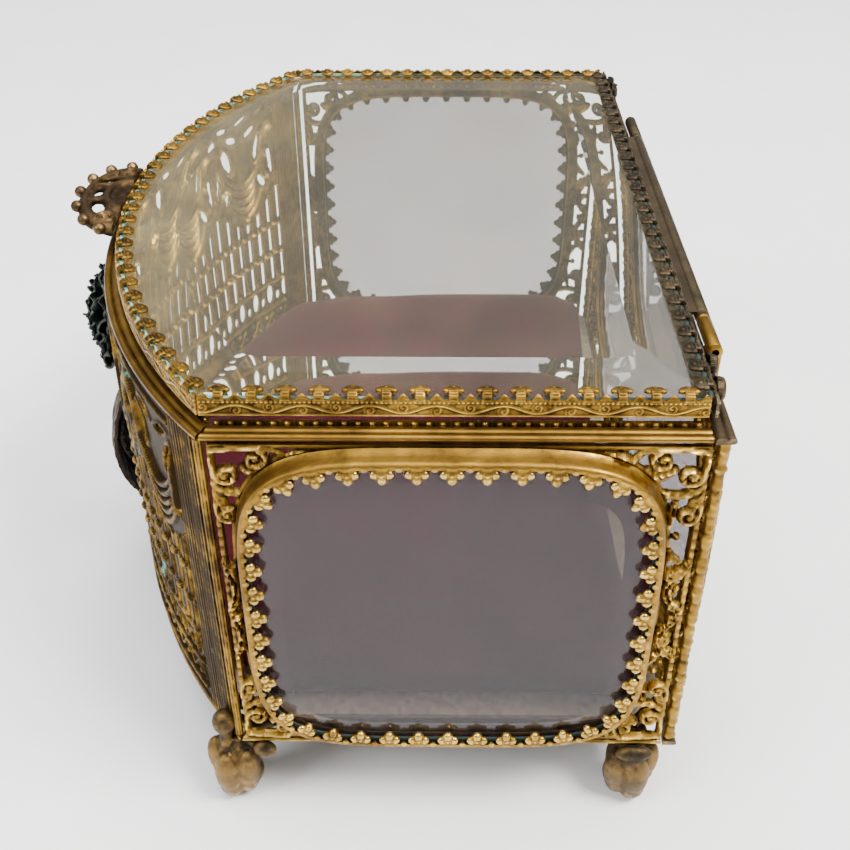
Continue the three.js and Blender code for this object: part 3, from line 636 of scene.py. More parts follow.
PANEL_GILT = metal_finish("gilt_panels", (0.16, 0.088, 0.017), (0.30, 0.172, 0.026), (0.64, 0.43, 0.11),
                          (0.026, 0.015, 0.005), verdigris=0.67)
STRIP_GILT = metal_finish("gilt_strip", (0.16, 0.086, 0.015), (0.30, 0.166, 0.024), (0.62, 0.41, 0.10),
                          (0.026, 0.016, 0.005), verdigris=0.70, roughness=0.26)
LEDGE_GILT = metal_finish("gilt_moulding", (0.13, 0.068, 0.012), (0.27, 0.15, 0.024), (0.58, 0.38, 0.10),
                          (0.028, 0.015, 0.004), verdigris=0.74, roughness=0.24, grain=0.15)
BRONZE = metal_finish("dark_bronze", (0.011, 0.017, 0.018), (0.022, 0.030, 0.030), (0.075, 0.080, 0.062),
                      (0.004, 0.007, 0.008), verdigris=0.62, roughness=0.42, grain=0.4)
LEAF_BRONZE = metal_finish("leaf_bronze", (0.036, 0.025, 0.020), (0.060, 0.041, 0.033), (0.15, 0.105, 0.075),
                           (0.006, 0.011, 0.009), verdigris=0.66, roughness=0.4, grain=0.4)
PULL_BRONZE = metal_finish("brown_bronze", (0.055, 0.034, 0.016), (0.11, 0.066, 0.028), (0.46, 0.29, 0.11),
                           (0.016, 0.010, 0.005), verdigris=0.72, roughness=0.34)
DARK_GILT = metal_finish("dulled_gilt", (0.055, 0.041, 0.026), (0.095, 0.068, 0.038), (0.32, 0.22, 0.11),
                         (0.015, 0.013, 0.010), verdigris=0.72, roughness=0.36)
PAW_GILT = metal_finish("paw_gilt", (0.085, 0.062, 0.034), (0.20, 0.118, 0.038), (0.58, 0.38, 0.14),
                        (0.026, 0.022, 0.015), verdigris=0.66, roughness=0.3)
CRUST = corroded_finish("corroded_groove")
LID_GLASS = glass_finish("lid_glass", (0.96, 0.97, 0.94), 0.01, (0.74, 0.62, 0.32), 0.03, 35.0,
                         front_veil=0.08)
WINDOW_GLASS = glass_finish("window_glass", (0.62, 0.60, 0.61), 0.03, (0.16, 0.14, 0.15), 0.07, 28.0)
VELVET = velvet_finish("velvet")
CARD = card_finish("backing_card")
STEEL = steel_finish("steel_pin")


# ---- windows -----------------------------------------------------------------
ROUNDNESS = 4.6  # exponent of the rounded-square outline
GLASS_EDGE_GAP = 0.3


class Window:
    """The rounded-square outline with bulging sides, in panel coordinates."""

    def __init__(self, glass_node, along, middle, sign):
        low, high = corners(glass_node)
        self.half_u = (high[along] - low[along]) / 2 + GLASS_EDGE_GAP
        self.half_v = (high[2] - low[2]) / 2 + GLASS_EDGE_GAP
        self.u = sign * ((high[along] + low[along]) / 2 - middle)
        self.v = (high[2] + low[2]) / 2

    def outline(self, count, spread=0.0):
        """Evenly spaced points and outward normals, anticlockwise."""
        angle = np.linspace(0, 2 * math.pi, 6000, endpoint=False)
        c, s = np.cos(angle), np.sin(angle)
        u = np.sign(c) * np.abs(c) ** (2 / ROUNDNESS) * self.half_u
        v = np.sign(s) * np.abs(s) ** (2 / ROUNDNESS) * self.half_v
        steps = np.hypot(np.diff(u, append=u[0]), np.diff(v, append=v[0]))
        reach = np.concatenate([[0], np.cumsum(steps)])
        self.length = reach[-1]
        even = np.linspace(0, reach[-1], count, endpoint=False)
        u = np.interp(even, reach, np.append(u, u[0]))
        v = np.interp(even, reach, np.append(v, v[0]))
        tu = np.roll(u, -2) - np.roll(u, 2)
        tv = np.roll(v, -2) - np.roll(v, 2)
        size = np.hypot(tu, tv)
        nu, nv = tv / size, -tu / size
        return self.u + u + nu * spread, self.v + v + nv * spread, nu, nv

    def margin(self, u, v):
        """Rough distance outside the outline."""
        x, y = np.abs(u - self.u) / self.half_u, np.abs(v - self.v) / self.half_v
        r = (x**ROUNDNESS + y**ROUNDNESS) ** (1 / ROUNDNESS)
        gx = x ** (ROUNDNESS - 1) / np.maximum(r, 1e-6) ** (ROUNDNESS - 1) / self.half_u
        gy = y ** (ROUNDNESS - 1) / np.maximum(r, 1e-6) ** (ROUNDNESS - 1) / self.half_v
        return (r - 1) / np.maximum(np.hypot(gx, gy), 1e-6)


RIGHT_WINDOW = Window("window_glass_right", 1, MIDDLE_Y, 1)
LEFT_WINDOW = Window("window_glass_left", 1, MIDDLE_Y, -1)
BACK_WINDOW = Window("window_glass_back", 0, 0.0, -1)

# Section of a bezel strip: n outwards from the glass edge, w off the panel.
BEZEL_SECTION = [(1.38, 0.32), (1.02, 0.8), (0.8, 1.5), (0.72, 2.3), (0.66, 2.95), (0.52, 3.3),
                 (0.25, 3.5), (-0.1, 3.54), (-0.7, 3.46), (-2.2, 3.3), (-3.6, 3.1)]
BEZEL_THICK = 0.32
PRONG_ROOT = 4.15  # where the prongs leave the rim, along the section
PRONG_STEPS = 30  # points along the strip for each prong
BEZEL_ROWS = 46
GROOVE_RIBBON = [(0.2, 2.55), (-1.0, 2.7), (-1.0, 2.3), (0.2, 2.1)]  # the crust under the prongs


def profile(section):
    """Arc-length lookup along a smooth section: n, w and the section's outward normal."""
    line = smooth_line(section, 10)
    steps = np.hypot(*np.diff(line, axis=0).T)
    reach = np.concatenate([[0], np.cumsum(steps)])
    dn, dw = np.gradient(line[:, 0], reach), np.gradient(line[:, 1], reach)

    def at(v):
        size = np.hypot(np.interp(v, reach, dn), np.interp(v, reach, dw))
        return (np.interp(v, reach, line[:, 0]), np.interp(v, reach, line[:, 1]),
                np.interp(v, reach, dw) / size, -np.interp(v, reach, dn) / size)

    return at, reach[-1]


def bezel(window, prongs, place, skin):
    """A smooth strip round the glass, with three-lobed prongs folded over it."""
    at, length = profile(BEZEL_SECTION)
    count = prongs * PRONG_STEPS
    us, vs = np.arange(count, dtype=float), np.linspace(0, length, BEZEL_ROWS)
    line_u, line_v, normal_u, normal_v = window.outline(count)
    pitch = window.length / prongs
    sheet = Relief(us * pitch / PRONG_STEPS, vs, wrap=True)
    x, y = fold(sheet.u, pitch), sheet.v - PRONG_ROOT
    half = fold(sheet.u, pitch, pitch / 2)
    sheet.add(band(y, -9, -0.05), 0.0)
    sheet.boss(disc(half, y, 0, -0.1, 0.5), 0.4, 0.1)
    neck = np.minimum(band(x, -0.85, 0.85), band(y, -0.6, 1.1))
    sheet.boss(neck, 0.5, 0.1)
    for side in (-1, 1):
        sheet.boss(oval(x, y, side * 0.95, 0.85, 0.84, 0.74, side * 0.35), 0.74, 0.42)
    sheet.boss(oval(x, y, 0, 1.75, 0.86, 0.92), 0.86, 0.5)
    sheet.boss(disc(x, y, 0, 0.85, 0.42), 0.4, 0.5)
    ribs = 0.08 * np.abs(np.sin(math.pi * y / 0.46)) * (np.abs(x) < 0.5) * (y > 1.3)
    sheet.rise += np.where(y > 0.2, ribs, 0)
    crease = np.clip(1 - np.abs(np.abs(x) - 0.62) / 0.16, 0, 1) * (y > 0.2)
    sheet.rise -= 0.12 * crease * (sheet.rise > 0.15)
    # Painted shade: the prongs are darkened, and the creases at their necks most of all.
    sheet.painted_shade = np.where(y > 0.1, 0.32, 0.05) + 0.3 * crease
    index = np.arange(count)

    def wrapped(u, v, w):
        where = (u / pitch * PRONG_STEPS) % count
        n, up, out_n, out_w = at(v)
        pu = np.interp(where, index, line_u, period=count)
        pv = np.interp(where, index, line_v, period=count)
        mu = np.interp(where, index, normal_u, period=count)
        mv = np.interp(where, index, normal_v, period=count)
        n, up = n + out_n * w, up + out_w * w
        return place(pu + mu * n, pv + mv * n, up)

    sheet.build(skin, wrapped, BEZEL_THICK, tones=(0.55, 1.0), full=0.2)
    steps = 260
    line_u, line_v, normal_u, normal_v = window.outline(steps)
    loops = [place(line_u + normal_u * n, line_v + normal_v * n, np.full(steps, w))
             for n, w in GROOVE_RIBBON]
    tube(skin, loops[::-1], 0.2, finish=1, ring=True)


def window_pane(window, place, skin):
    """Glass with a ground bevel all round."""
    loops = []
    count, low, edge, top, bevel_width = 300, 0.9, 1.95, 3.0, 5.0
    rim = -GLASS_EDGE_GAP
    for spread, w in ((rim, low), (rim, edge), (rim - bevel_width, top)):
        u, v, _, _ = window.outline(count, spread)
        loops.append(place(u, v, np.full(count, w)))
    tube(skin, loops[::-1], 0.5)


GLASS_SHARP = 4  # degrees, so that the ground bevel keeps its edges

for side, window, place, prongs in (
    ("right", RIGHT_WINDOW, on_right, 44),
    ("left", LEFT_WINDOW, on_left, 44),
    ("back", BACK_WINDOW, on_back, 60),
):
    strip = Skin()
    bezel(window, prongs, place, strip)
    place_piece(f"bezel_strip_{side}", strip, [STRIP_GILT, CRUST], "case",
                [f"window_bezel_{side}"])
    pane = Skin()
    window_pane(window, place, pane)
    place_piece(f"bevelled_pane_{side}", pane, [WINDOW_GLASS], "case",
                [f"window_glass_{side}"], sharp=GLASS_SHARP)


# ---- pierced scrollwork round the windows ------------------------------------
def volute(sheet, lead, centre, radius, start, turns, hand, flip, width=1.0, height=0.7, kind="round"):
    """A scroll: a lead-in line that winds into an eye with a bead."""
    curl = spiral(centre, radius, start, turns, hand)
    line = np.concatenate([smooth_line([*lead, curl[0]], 6)[:-1], curl]) if lead else curl
    sheet.stroke(flip(line), width, height, kind, taper=(0.7, 0.45))
    eye = flip(np.array([centre]))[0]
    sheet.boss(disc(sheet.u, sheet.v, *eye, radius * 0.34), radius * 0.34, height * 1.15)


def corner_spray(sheet, flip):
    """Rococo scrolls of one corner; a runs in from the post, b down from the ledge."""
    volute(sheet, [(1.8, 1.3), (5.2, 0.9), (8.4, 0.8)], (7.9, 2.9), 1.75, -1.3, 1.25, 1, flip, 0.85, 0.75)
    sheet.stroke(flip(smooth_line([(8.2, 0.9), (10.8, 1.5), (12.1, 3.4), (12.6, 6.2)])), 0.8, 0.6, "beaded")
    volute(sheet, [(1.5, 2.6), (1.7, 4.2)], (3.6, 5.5), 1.75, 3.3, 1.35, -1, flip, 0.9, 0.75)
    sheet.stroke(flip(smooth_line([(13.2, 8.6), (11.2, 6.8), (8.6, 5.4), (5.9, 4.5)])), 2.7, 0.9,
                 "leaf", (0.25, 0.3))
    volute(sheet, [(11.6, 10.6), (13.0, 7.6), (12.7, 5.0)], (14.3, 3.6), 1.75, 3.4, 1.3, 1, flip, 1.15, 1.3)
    volute(sheet, [(10.6, 9.6), (9.4, 10.2), (8.9, 11.6)], (7.2, 13.1), 1.7, -0.2, 1.4, 1, flip, 0.95, 0.8)
    sheet.stroke(flip(smooth_line([(1.4, 7.0), (2.8, 8.6), (4.9, 9.2), (7.6, 9.0), (10.2, 8.4)])),
                 1.1, 0.6, "beaded")
    sheet.stroke(flip(smooth_line([(1.3, 8.4), (2.0, 10.2), (2.6, 12.0)])), 1.9, 0.7, "leaf", (0.3, 0.5))
    volute(sheet, [(1.4, 10.6), (1.5, 12.0)], (3.2, 12.9), 1.5, 2.9, 1.3, -1, flip, 0.8, 0.75)
    sheet.stroke(flip(smooth_line([(5.2, 10.4), (6.0, 14.4), (6.3, 17.6), (5.1, 20.2), (3.4, 22.0)])),
                 1.15, 0.8, "channel", (0.6, 0.6))
    volute(sheet, [(4.8, 20.6), (5.4, 22.8)], (3.9, 24.4), 1.25, 0.4, 1.2, 1, flip, 0.8, 0.75)
    shell_at = flip(np.array([(7.2, 16.6), (4.3, 17.2)]))
    for k, (cu, cv) in enumerate(shell_at):
        sheet.boss(disc(sheet.u, sheet.v, cu, cv, 0.75 - 0.15 * k), 0.7, 0.8)


def chain(sheet, line, reach, turn):
    """S-scrolls hand to hand along a straight line from line[0] to line[1]."""
    start, end = np.array(line[0], float), np.array(line[1], float)
    length = np.hypot(*(end - start))
    links = max(1, round(length / 7.2))
    along = (end - start) / length
    across = np.array([-along[1], along[0]]) * turn
    for k in range(links):
        base = start + along * length * k / links
        size = length / links
        way = 1 if k % 2 else -1
        curve = [(0.05, -0.9), (0.3, 0.2), (0.5, 0.0), (0.7, -0.2), (0.95, 0.9)]
        points = [base + along * size * s + across * reach * t * way for s, t in curve]
        sheet.stroke(smooth_line(points), 1.05, 0.75, "channel", (0.7, 0.7))
        for s, t in ((0.24, 0.55), (0.76, -0.55)):
            centre = base + along * size * s + across * reach * t * way
            sheet.stroke(spiral(centre, 1.0, 2.2 * s, 1.2, way), 0.6, 0.7, "round", (0.8, 0.5))


def side_strands(sheet, middle, reach, level):
    """Long S-strokes with curled ends beside the straight flank of a window."""
    for low in (level - 11.0, level - 1.0):
        curve = [(0.75, 0.0), (-0.2, 2.2), (-0.75, 5.0), (0.1, 7.8), (0.8, 10.4)]
        line = smooth_line([(middle + reach * a, low + b) for a, b in curve])
        sheet.stroke(line, 1.1, 0.8, "channel", (0.7, 0.7))
        for a, b, hand in ((0.1, 1.4, 1), (0.15, 9.0, -1)):
            curl = spiral((middle + reach * a, low + b), 0.95, 0.4, 1.2, hand)
            sheet.stroke(curl, 0.6, 0.8, "round", (0.8, 0.5))
        leaf_line = [(middle - reach * 0.5, low + 3.4), (middle + reach * 0.3, low + 5.2)]
        sheet.stroke(smooth_line(leaf_line), 1.2, 0.7, "leaf", (0.3, 0.4))


FRONT_WRAP = 1.1  # how far an end panel reaches over the corner at the front


def scroll_panel(window, half_u, side_reach, top_reach, front_side):
    """A pierced panel: frame lines, corner sprays and chains of scrolls round a window. On its
    front_side, -1 or 1, it reaches over the corner to the slim front post."""
    step = 0.32
    reach_u = {side: half_u + (FRONT_WRAP if side == front_side else 0) for side in (-1, 1)}
    count_u = round((reach_u[-1] + reach_u[1]) / step) + 1
    count_v = round((PANEL_TOP - PANEL_BOTTOM) / step) + 1
    us = np.linspace(-reach_u[-1], reach_u[1], count_u)
    sheet = Relief(us, np.linspace(PANEL_BOTTOM, PANEL_TOP, count_v))
    sheet.weight = 1.28
    for side_u in (-1, 1):
        for side_v in (-1, 1):
            edge_v = window.v + side_v * (PANEL_TOP - window.v if side_v > 0 else window.v - PANEL_BOTTOM)

            def flip(points, side_u=side_u, side_v=side_v, edge_v=edge_v):
                points = np.asarray(points, float)
                along = side_u * (reach_u[side_u] + 1.0 - points[:, 0])
                return np.stack([along, edge_v - side_v * points[:, 1]], 1)

            corner_spray(sheet, flip)
    for side_u in (-1, 1):
        gap_from = window.u + side_u * (window.half_u + 1.6)
        gap_to = side_u * (reach_u[side_u] - 0.5)
        middle = (gap_from + gap_to) / 2
        reach = max(abs(gap_to - gap_from) / 2, 0.9) * side_reach
        side_strands(sheet, middle, reach * side_u, window.v)
    if top_reach:
        span = window.half_u - 12
        for level, turn in ((window.v + window.half_v + 2.6, 1), (window.v - window.half_v - 2.6, -1)):
            chain(sheet, [(-span, level), (span, level)], top_reach, turn)
    distance = window.margin(sheet.u, sheet.v)
    ring = band(distance, -0.6, 1.75)
    sheet.add(ring, 0.12)
    for level in (PANEL_BOTTOM, PANEL_TOP):
        line = np.abs(sheet.v - level)
        sheet.add(1.1 - line, 0.35 * np.clip(np.cos((line - 0.55) * 2.2), 0, 1))
    edge = np.minimum(reach_u[1] - sheet.u, reach_u[-1] + sheet.u)
    beads = 0.45 * np.abs(np.cos(math.pi * sheet.v / 1.9)) ** 0.6
    sheet.add(1.15 - edge, 0.2 + beads * np.clip(np.cos((edge - 0.6) * 2.4), 0, 1))
    sheet.metal = np.minimum(sheet.metal, distance + 0.6)
    under_bezel = np.clip((distance - 1.3) / 0.8, 0, 1)
    sheet.rise = np.minimum(sheet.rise, 0.15 + 1.3 * under_bezel)
    return sheet


PANEL_THICK = 0.55

# For each wall: half its width, reach of the side strands, reach of the chains over and under the
# window (none on an end), and the side that wraps the front corner.
for side, window, place, shape, node_name in (
    ("right", RIGHT_WINDOW, on_right, (END_HALF, 0.9, 0, -1), "end_filigree_right"),
    ("left", LEFT_WINDOW, on_left, (END_HALF, 0.9, 0, 1), "end_filigree_left"),
    ("back", BACK_WINDOW, on_back, (BACK_HALF, 0.6, 1.4, 0), "back_filigree"),
):
    panel = Skin()
    scroll_panel(window, *shape).build(panel, place, PANEL_THICK, (0.05, 0.95), 1.25)
    place_piece(f"scrollwork_{side}", panel, [PANEL_GILT], "case", [node_name])


# ---- bowed front panel: arches, swags, a row of bars and a base band ---------
REPEAT = 22.8
ARCH_OFFSET = 2.0
BAR_PITCH = REPEAT / 6
REEDED = 7.6  # width of the finely reeded ends
BALL_ROWS = (40.6, 48.3)  # heights of the rows of balls across the bars
BAR_BOTTOM = 33.6


class Repeats:
    """Places on the front panel, measured from the middle of the nearest arch, swag or bar."""

    def __init__(self, u):
        self.arch = fold(u, REPEAT, ARCH_OFFSET)
        self.swag = fold(u, REPEAT, ARCH_OFFSET + REPEAT / 2)
        self.bar = fold(u, BAR_PITCH, ARCH_OFFSET)
        self.slot_top = 57.5 - 6.0 * np.clip(1 - (self.swag / 9.5) ** 2, 0, 1)


def pierce_front(sheet, at):
    """The slots between the bars and the holes round the arches and along the foot."""
    u, v, x, half, bar, slot_top = sheet.u, sheet.v, at.arch, at.swag, at.bar, at.slot_top
    slots = np.minimum(band(bar, -0.7, 0.7), band(v, BAR_BOTTOM, slot_top))
    for level in BALL_ROWS:
        slots = np.minimum(slots, np.abs(v - level) - 0.9)
    sheet.cut(slots, 0.45)
    upright = math.pi / 2
    for side in (-1, 1):
        for across, out, level, rx, ry, turn, lean, rim in (
            (x, 5.7, 69.4, 3.1, 1.25, upright, 0.4, 0.5), (x, 1.65, 64.6, 3.4, 0.8, upright, -0.08, 0.35),
            (x, 5.0, 60.6, 1.9, 0.85, upright, -0.6, 0.35), (half, 3.4, 73.6, 2.1, 0.75, 0.0, 0.35, 0.35),
        ):
            sheet.cut(oval(across, v, side * out, level, rx, ry, turn + side * lean), rim)
    foot = fold(u, BAR_PITCH * 1.5, ARCH_OFFSET)
    sheet.cut(oval(foot, v, 0, 29.9, 1.25, 2.5), 0.4)
    for side in (-1, 1):
        sheet.cut(oval(foot, v, side * BAR_PITCH * 0.75, 28.7, 0.8, 1.2), 0.3)


def raise_swags(sheet, at):
    """The arches with a drop inside each, and the swags hung between them."""
    v, x, half = sheet.v, at.arch, at.swag
    arch = np.abs(np.hypot(x / 4.3, np.clip(v - 66.5, 0, 99) / 7.4) - 1) * 4.3
    sheet.ridge(np.where(v > 60.5, arch, 9), 1.8, 1.15)
    sheet.ridge(np.hypot(x / 0.95, (v - 65.0) / 4.6) * 0.7, 1.3, 0.7)
    for k in range(5):
        top, low, rise = 68.6 - 1.1 * k, 61.8 - 2.0 * k, 1.2 - 0.12 * k
        sag = low + (top - low) * (half / 8.2) ** 2
        slope = 2 * (top - low) * half / 8.2**2
        sheet.ridge(np.where(np.abs(half) < 8.4, np.abs(v - sag) / np.sqrt(1 + slope**2), 9), 1.25, rise)
    for side in (-1, 1):
        sheet.ridge(np.hypot(half - side * 8.2, (v - 67.2) * 0.7), 2.7, 1.3)
        sheet.ridge(np.hypot(half - side * 8.5, (v - 62.6) * 0.4), 1.7, 0.9)


def raise_bands(sheet, at):
    """The balls on the bars, the plain lines and the wavy band along the foot."""
    u, v, half, bar, slot_top = sheet.u, sheet.v, at.swag, at.bar, at.slot_top
    sheet.ridge(np.hypot(half, v - 53.3), 2.0, 0.9)
    between = fold(u, BAR_PITCH, ARCH_OFFSET + BAR_PITCH / 2)
    sheet.ridge(np.where((v > 33) & (v < slot_top), np.abs(between), 9), 1.3, 0.5)
    for level in BALL_ROWS:
        sheet.ridge(np.hypot(between, v - level), 2.1, 1.15)
        sheet.ridge(np.hypot(bar, v - level), 1.5, 0.7)
    sheet.ridge(np.hypot(between, v - 34.2), 1.9, 0.9)
    for level, width, height in ((33.0, 1.0, 0.6), (26.2, 1.1, 0.8), (20.4, 1.3, 0.9), (77.2, 1.0, 0.6)):
        sheet.ridge(np.abs(v - level), width, height)
    sheet.ridge(np.abs(v - PANEL_BOTTOM - 0.5), 1.2, 0.5)
    wave = 23.3 + 1.5 * np.sin(2 * math.pi * u / BAR_PITCH / 1.5)
    sheet.ridge(np.where(band(v, 20.6, 26.0) > 0, np.abs(v - wave) * 0.75, 9), 0.9, 0.5)
    for share, level in ((0.37, 22.2), (1.12, 24.5)):
        sheet.ridge(np.hypot(fold(u, BAR_PITCH * 1.5, BAR_PITCH * share), v - level), 1.3, 0.6)


def front_panel():
    step = 0.3
    count_u = round(2 * FRONT_HALF / step) + 1
    count_v = round((PANEL_TOP - PANEL_BOTTOM) / step) + 1
    us = np.linspace(-FRONT_HALF, FRONT_HALF, count_u)
    sheet = Relief(us, np.linspace(PANEL_BOTTOM, PANEL_TOP, count_v), metal=3.0)
    u, v = sheet.u, sheet.v
    at = Repeats(u)
    pierce_front(sheet, at)
    raise_swags(sheet, at)
    raise_bands(sheet, at)
    edge = FRONT_HALF - np.abs(u)
    sheet.metal = np.maximum(sheet.metal, REEDED - edge)
    flute = 0.32 * np.abs(np.sin(math.pi * edge / 0.95))
    sheet.rise = np.where(edge < REEDED, flute, sheet.rise)
    border = np.minimum(v - PANEL_BOTTOM, PANEL_TOP - v)
    sheet.metal = np.where(border < 1.0, np.maximum(sheet.metal, 1), sheet.metal)
    return sheet


FRONT_THICK = 0.5
panel = Skin()
# Painted shade on the outer face of the bow, painted light on its inner face.
front_panel().build(panel, on_bow(BOW_RADIUS), FRONT_THICK, tones=(0.15, 1.0), full=0.9, painted_side_shading=(0.25, 1.25))
place_piece("scrollwork_front", panel, [PANEL_GILT], "case", ["front_filigree"])


# ---- mouldings that follow the plan ------------------------------------------
def plan_front_y(radius, x):
    return BOW_CENTRE_Y - math.sqrt(radius**2 - x**2)


def arc_moulding(skin, section, tone, steps=150):
    """A section of (out, z) points run along the bow; its ends meet the side strips on a mitre."""
    loops = []
    for share in np.linspace(-1, 1, steps):
        loop = []
        for out, z in section:
            radius = BOW_RADIUS + out
            angle = share * math.asin((END_FACE + out) / radius)
            loop.append((radius * math.sin(angle), BOW_CENTRE_Y - radius * math.cos(angle), z))
        loops.append(loop)
    tube(skin, np.array(loops)[::-1], tone)


def side_moulding(skin, section, sign, back_y, tone, steps=60):
    loops = []
    for share in np.linspace(0, 1, steps):
        loop = []
        for out, z in section:
            front_y = plan_front_y(BOW_RADIUS + out, END_FACE + out) + 1.4 * GAP
            loop.append((sign * (END_FACE + out), front_y + (back_y - front_y) * share, z))
        loops.append(loop)
    tube(skin, np.array(loops) if sign < 0 else np.array(loops)[::-1], tone)


def back_moulding(skin, section, half_x, tone, steps=80):
    loops = [[(x, BACK_FACE + out, z) for out, z in section] for x in np.linspace(-half_x, half_x, steps)]
    tube(skin, np.array(loops), tone)


def moulding(prefix, section, inset, proud, finish, tone):
    """Four strips round the case from one section."""
    pieces = {name: Skin() for name in ("front", "left", "right", "back")}
    arc_moulding(pieces["front"], section, tone)
    side_moulding(pieces["left"], section, -1, BACK_FACE - inset - GAP, tone)
    side_moulding(pieces["right"], section, 1, BACK_FACE - inset - GAP, tone)
    back_moulding(pieces["back"], section, END_FACE + proud, tone)
    for name, skin in pieces.items():
        shown = DARK_GILT if name == "back" else finish
        place_piece(f"{prefix}_moulding_{name}", skin, [shown], "case",
                    [f"{prefix}_{name}"], sharp=50)


def rounded_nose(inner, outer, low, high, lean):
    """Section of a strip with a half-round outer edge."""
    radius = (high - low) / 2
    middle = (high + low) / 2
    points = [(inner, high), (inner, low)]
    for angle in np.linspace(-math.pi / 2, math.pi / 2, 11):
        points.append((outer - lean + lean * math.cos(angle), middle + radius * math.sin(angle)))
    return points


def ledge_ribs():
    """Section of the ledge: two rounded ribs side by side, the outer one its nose."""
    points = [(-LEDGE_IN, LEDGE_BOTTOM), (-LEDGE_IN, LEDGE_TOP - 0.45)]
    for angle in np.linspace(0, math.pi, 11):
        points.append((-1.53 - 0.78 * math.cos(angle), LEDGE_TOP - 0.42 + 0.42 * math.sin(angle)))
    for angle in np.linspace(-0.9, math.pi, 14):
        points.append((LEDGE_OUT - 0.66 + 0.66 * math.sin(angle), LEDGE_BOTTOM + 0.5 + 0.5 * math.cos(angle)))
    return points


moulding("top_ledge", ledge_ribs(), LEDGE_IN, LEDGE_OUT, LEDGE_GILT, 0.62)
rail_low, rail_high = corners("base_rail_front")
RAIL_IN = 2.0
RAIL_OUT = 0.4
rail_section = rounded_nose(-RAIL_IN, RAIL_OUT, rail_low[2], rail_high[2], 0.5)
moulding("base_rail", rail_section, RAIL_IN, RAIL_OUT, LEDGE_GILT, 0.8)


LIP_BEAD_PITCH = 2.0


def lip_sheet(us):
    """The beaded lip: a row of small beads between fine lines."""
    lip_low, lip_high = corners("beaded_lip_front")
    vs = np.linspace(lip_low[2], lip_high[2], 15)
    sheet = Relief(us, vs, metal=3.0)
    x = fold(sheet.u, LIP_BEAD_PITCH)
    top = lip_high[2]
    bead = 0.34 * np.sqrt(np.clip(1 - np.hypot(x, sheet.v - top + 0.55) ** 2 / 0.42**2, 0, 1))
    line = 0.12 * np.clip(1 - np.abs(sheet.v - top + 1.15) / 0.15, 0, 1)
    split = 0.1 * np.clip(1 - np.abs(np.abs(x) - LIP_BEAD_PITCH / 2) / 0.14, 0, 1)
    sheet.rise = np.maximum(np.maximum(bead, line), split)
    return sheet


LIP_THICK = 0.45


def lip_run(name, place, half_length):
    skin = Skin()
    us = np.linspace(-half_length, half_length, round(2 * half_length / 0.22) + 1)
    lip_sheet(us).build(skin, place, LIP_THICK, tones=(0.5, 1.0), full=0.3)
    place_piece(f"beaded_edge_{name}", skin, [LEDGE_GILT], "case", [f"beaded_lip_{name}"])


lip_x = END_FACE - LIP_INSET
lip_radius = BOW_RADIUS - LIP_INSET
lip_side_low, lip_side_high = corners("beaded_lip_right")
lip_middle = (lip_side_low[1] + lip_side_high[1]) / 2
lip_half = (lip_side_high[1] - lip_side_low[1]) / 2 - 0.2
lip_run("right", lambda u, v, w: np.stack([lip_x + w, lip_middle + u, v], -1), lip_half)
lip_run("left", lambda u, v, w: np.stack([-lip_x - w, lip_middle - u, v], -1), lip_half)
lip_run("back", lambda u, v, w: np.stack([-u, BACK_FACE - LIP_INSET + w, v], -1), lip_x)
lip_run("front", on_bow(lip_radius), lip_radius * math.asin((lip_x - 0.5) / lip_radius))


# ---- corner posts ------------------------------------------------------------
FRONT_POST_SHIFT = 0.75  # towards the bow, off the CAD post's middle
FRONT_POST_SLIM = 0.62


def post(name, reeded):
    low, high = corners(f"corner_post_{name}")
    centre, radius = (low + high) / 2, (high[0] - low[0]) / 2
    if reeded:
        centre[1] -= FRONT_POST_SHIFT
        radius *= FRONT_POST_SLIM
    rows, columns = 190, 40
    z = np.linspace(low[2], high[2], rows)[:, None]
    angle = np.linspace(0, 2 * math.pi, columns, endpoint=False)[None, :]
    if reeded:
        r = radius * (0.8 + 0.19 * np.abs(np.cos(4 * angle))) + 0 * z
        r = r * (1 - 0.03 * np.cos(z * 1.3 + 2 * angle))
    else:
        swell = 0.5 + 0.3 * np.sin(1.7 * z + 1.6 * np.sin(0.6 * z)) + 0.2 * np.sin(3.9 * z)
        r = radius * (0.58 + 0.4 * swell * (0.8 + 0.2 * np.cos(3 * angle + 1.3 * z)))
    skin = Skin()
    loops = np.stack([centre[0] + r * np.cos(angle), centre[1] + r * np.sin(angle), z + 0 * r], -1)
    # Tone follows the radius, darker in the grooves; the reeded front posts carry painted shade, at 0.4
    # against 0.8 for the back ones.
    tube(skin, loops, (r / radius).ravel() * (0.4 if reeded else 0.8))
    place_piece(f"edge_post_{name}", skin, [PANEL_GILT], "case", [f"corner_post_{name}"])


for end in ("front", "back"):
    for side in ("left", "right"):
        post(f"{end}_{side}", end == "front")


# ---- lid: gallery strips with mushroom prongs --------------------------------
BAND_HEIGHT = 2.7  # embossed band below the prongs
LID_SECTION_TOP = corners("lid_gallery_right")[1][2]
LID_THICK = 0.34


def lid_section():
    """Strip section: n out from the strip's outer face, z up; it folds inwards over the glass."""
    top = LID_SECTION_TOP - 0.12
    return [(0.0, BAND_BOTTOM), (0.0, BAND_BOTTOM + 1.4), (-0.02, BAND_BOTTOM + 2.5), (-0.1, top - 0.45),
            (-0.42, top - 0.08), (-0.9, top), (-1.8, top - 0.12), (-2.7, top - 0.35), (-3.6, top - 0.6)]


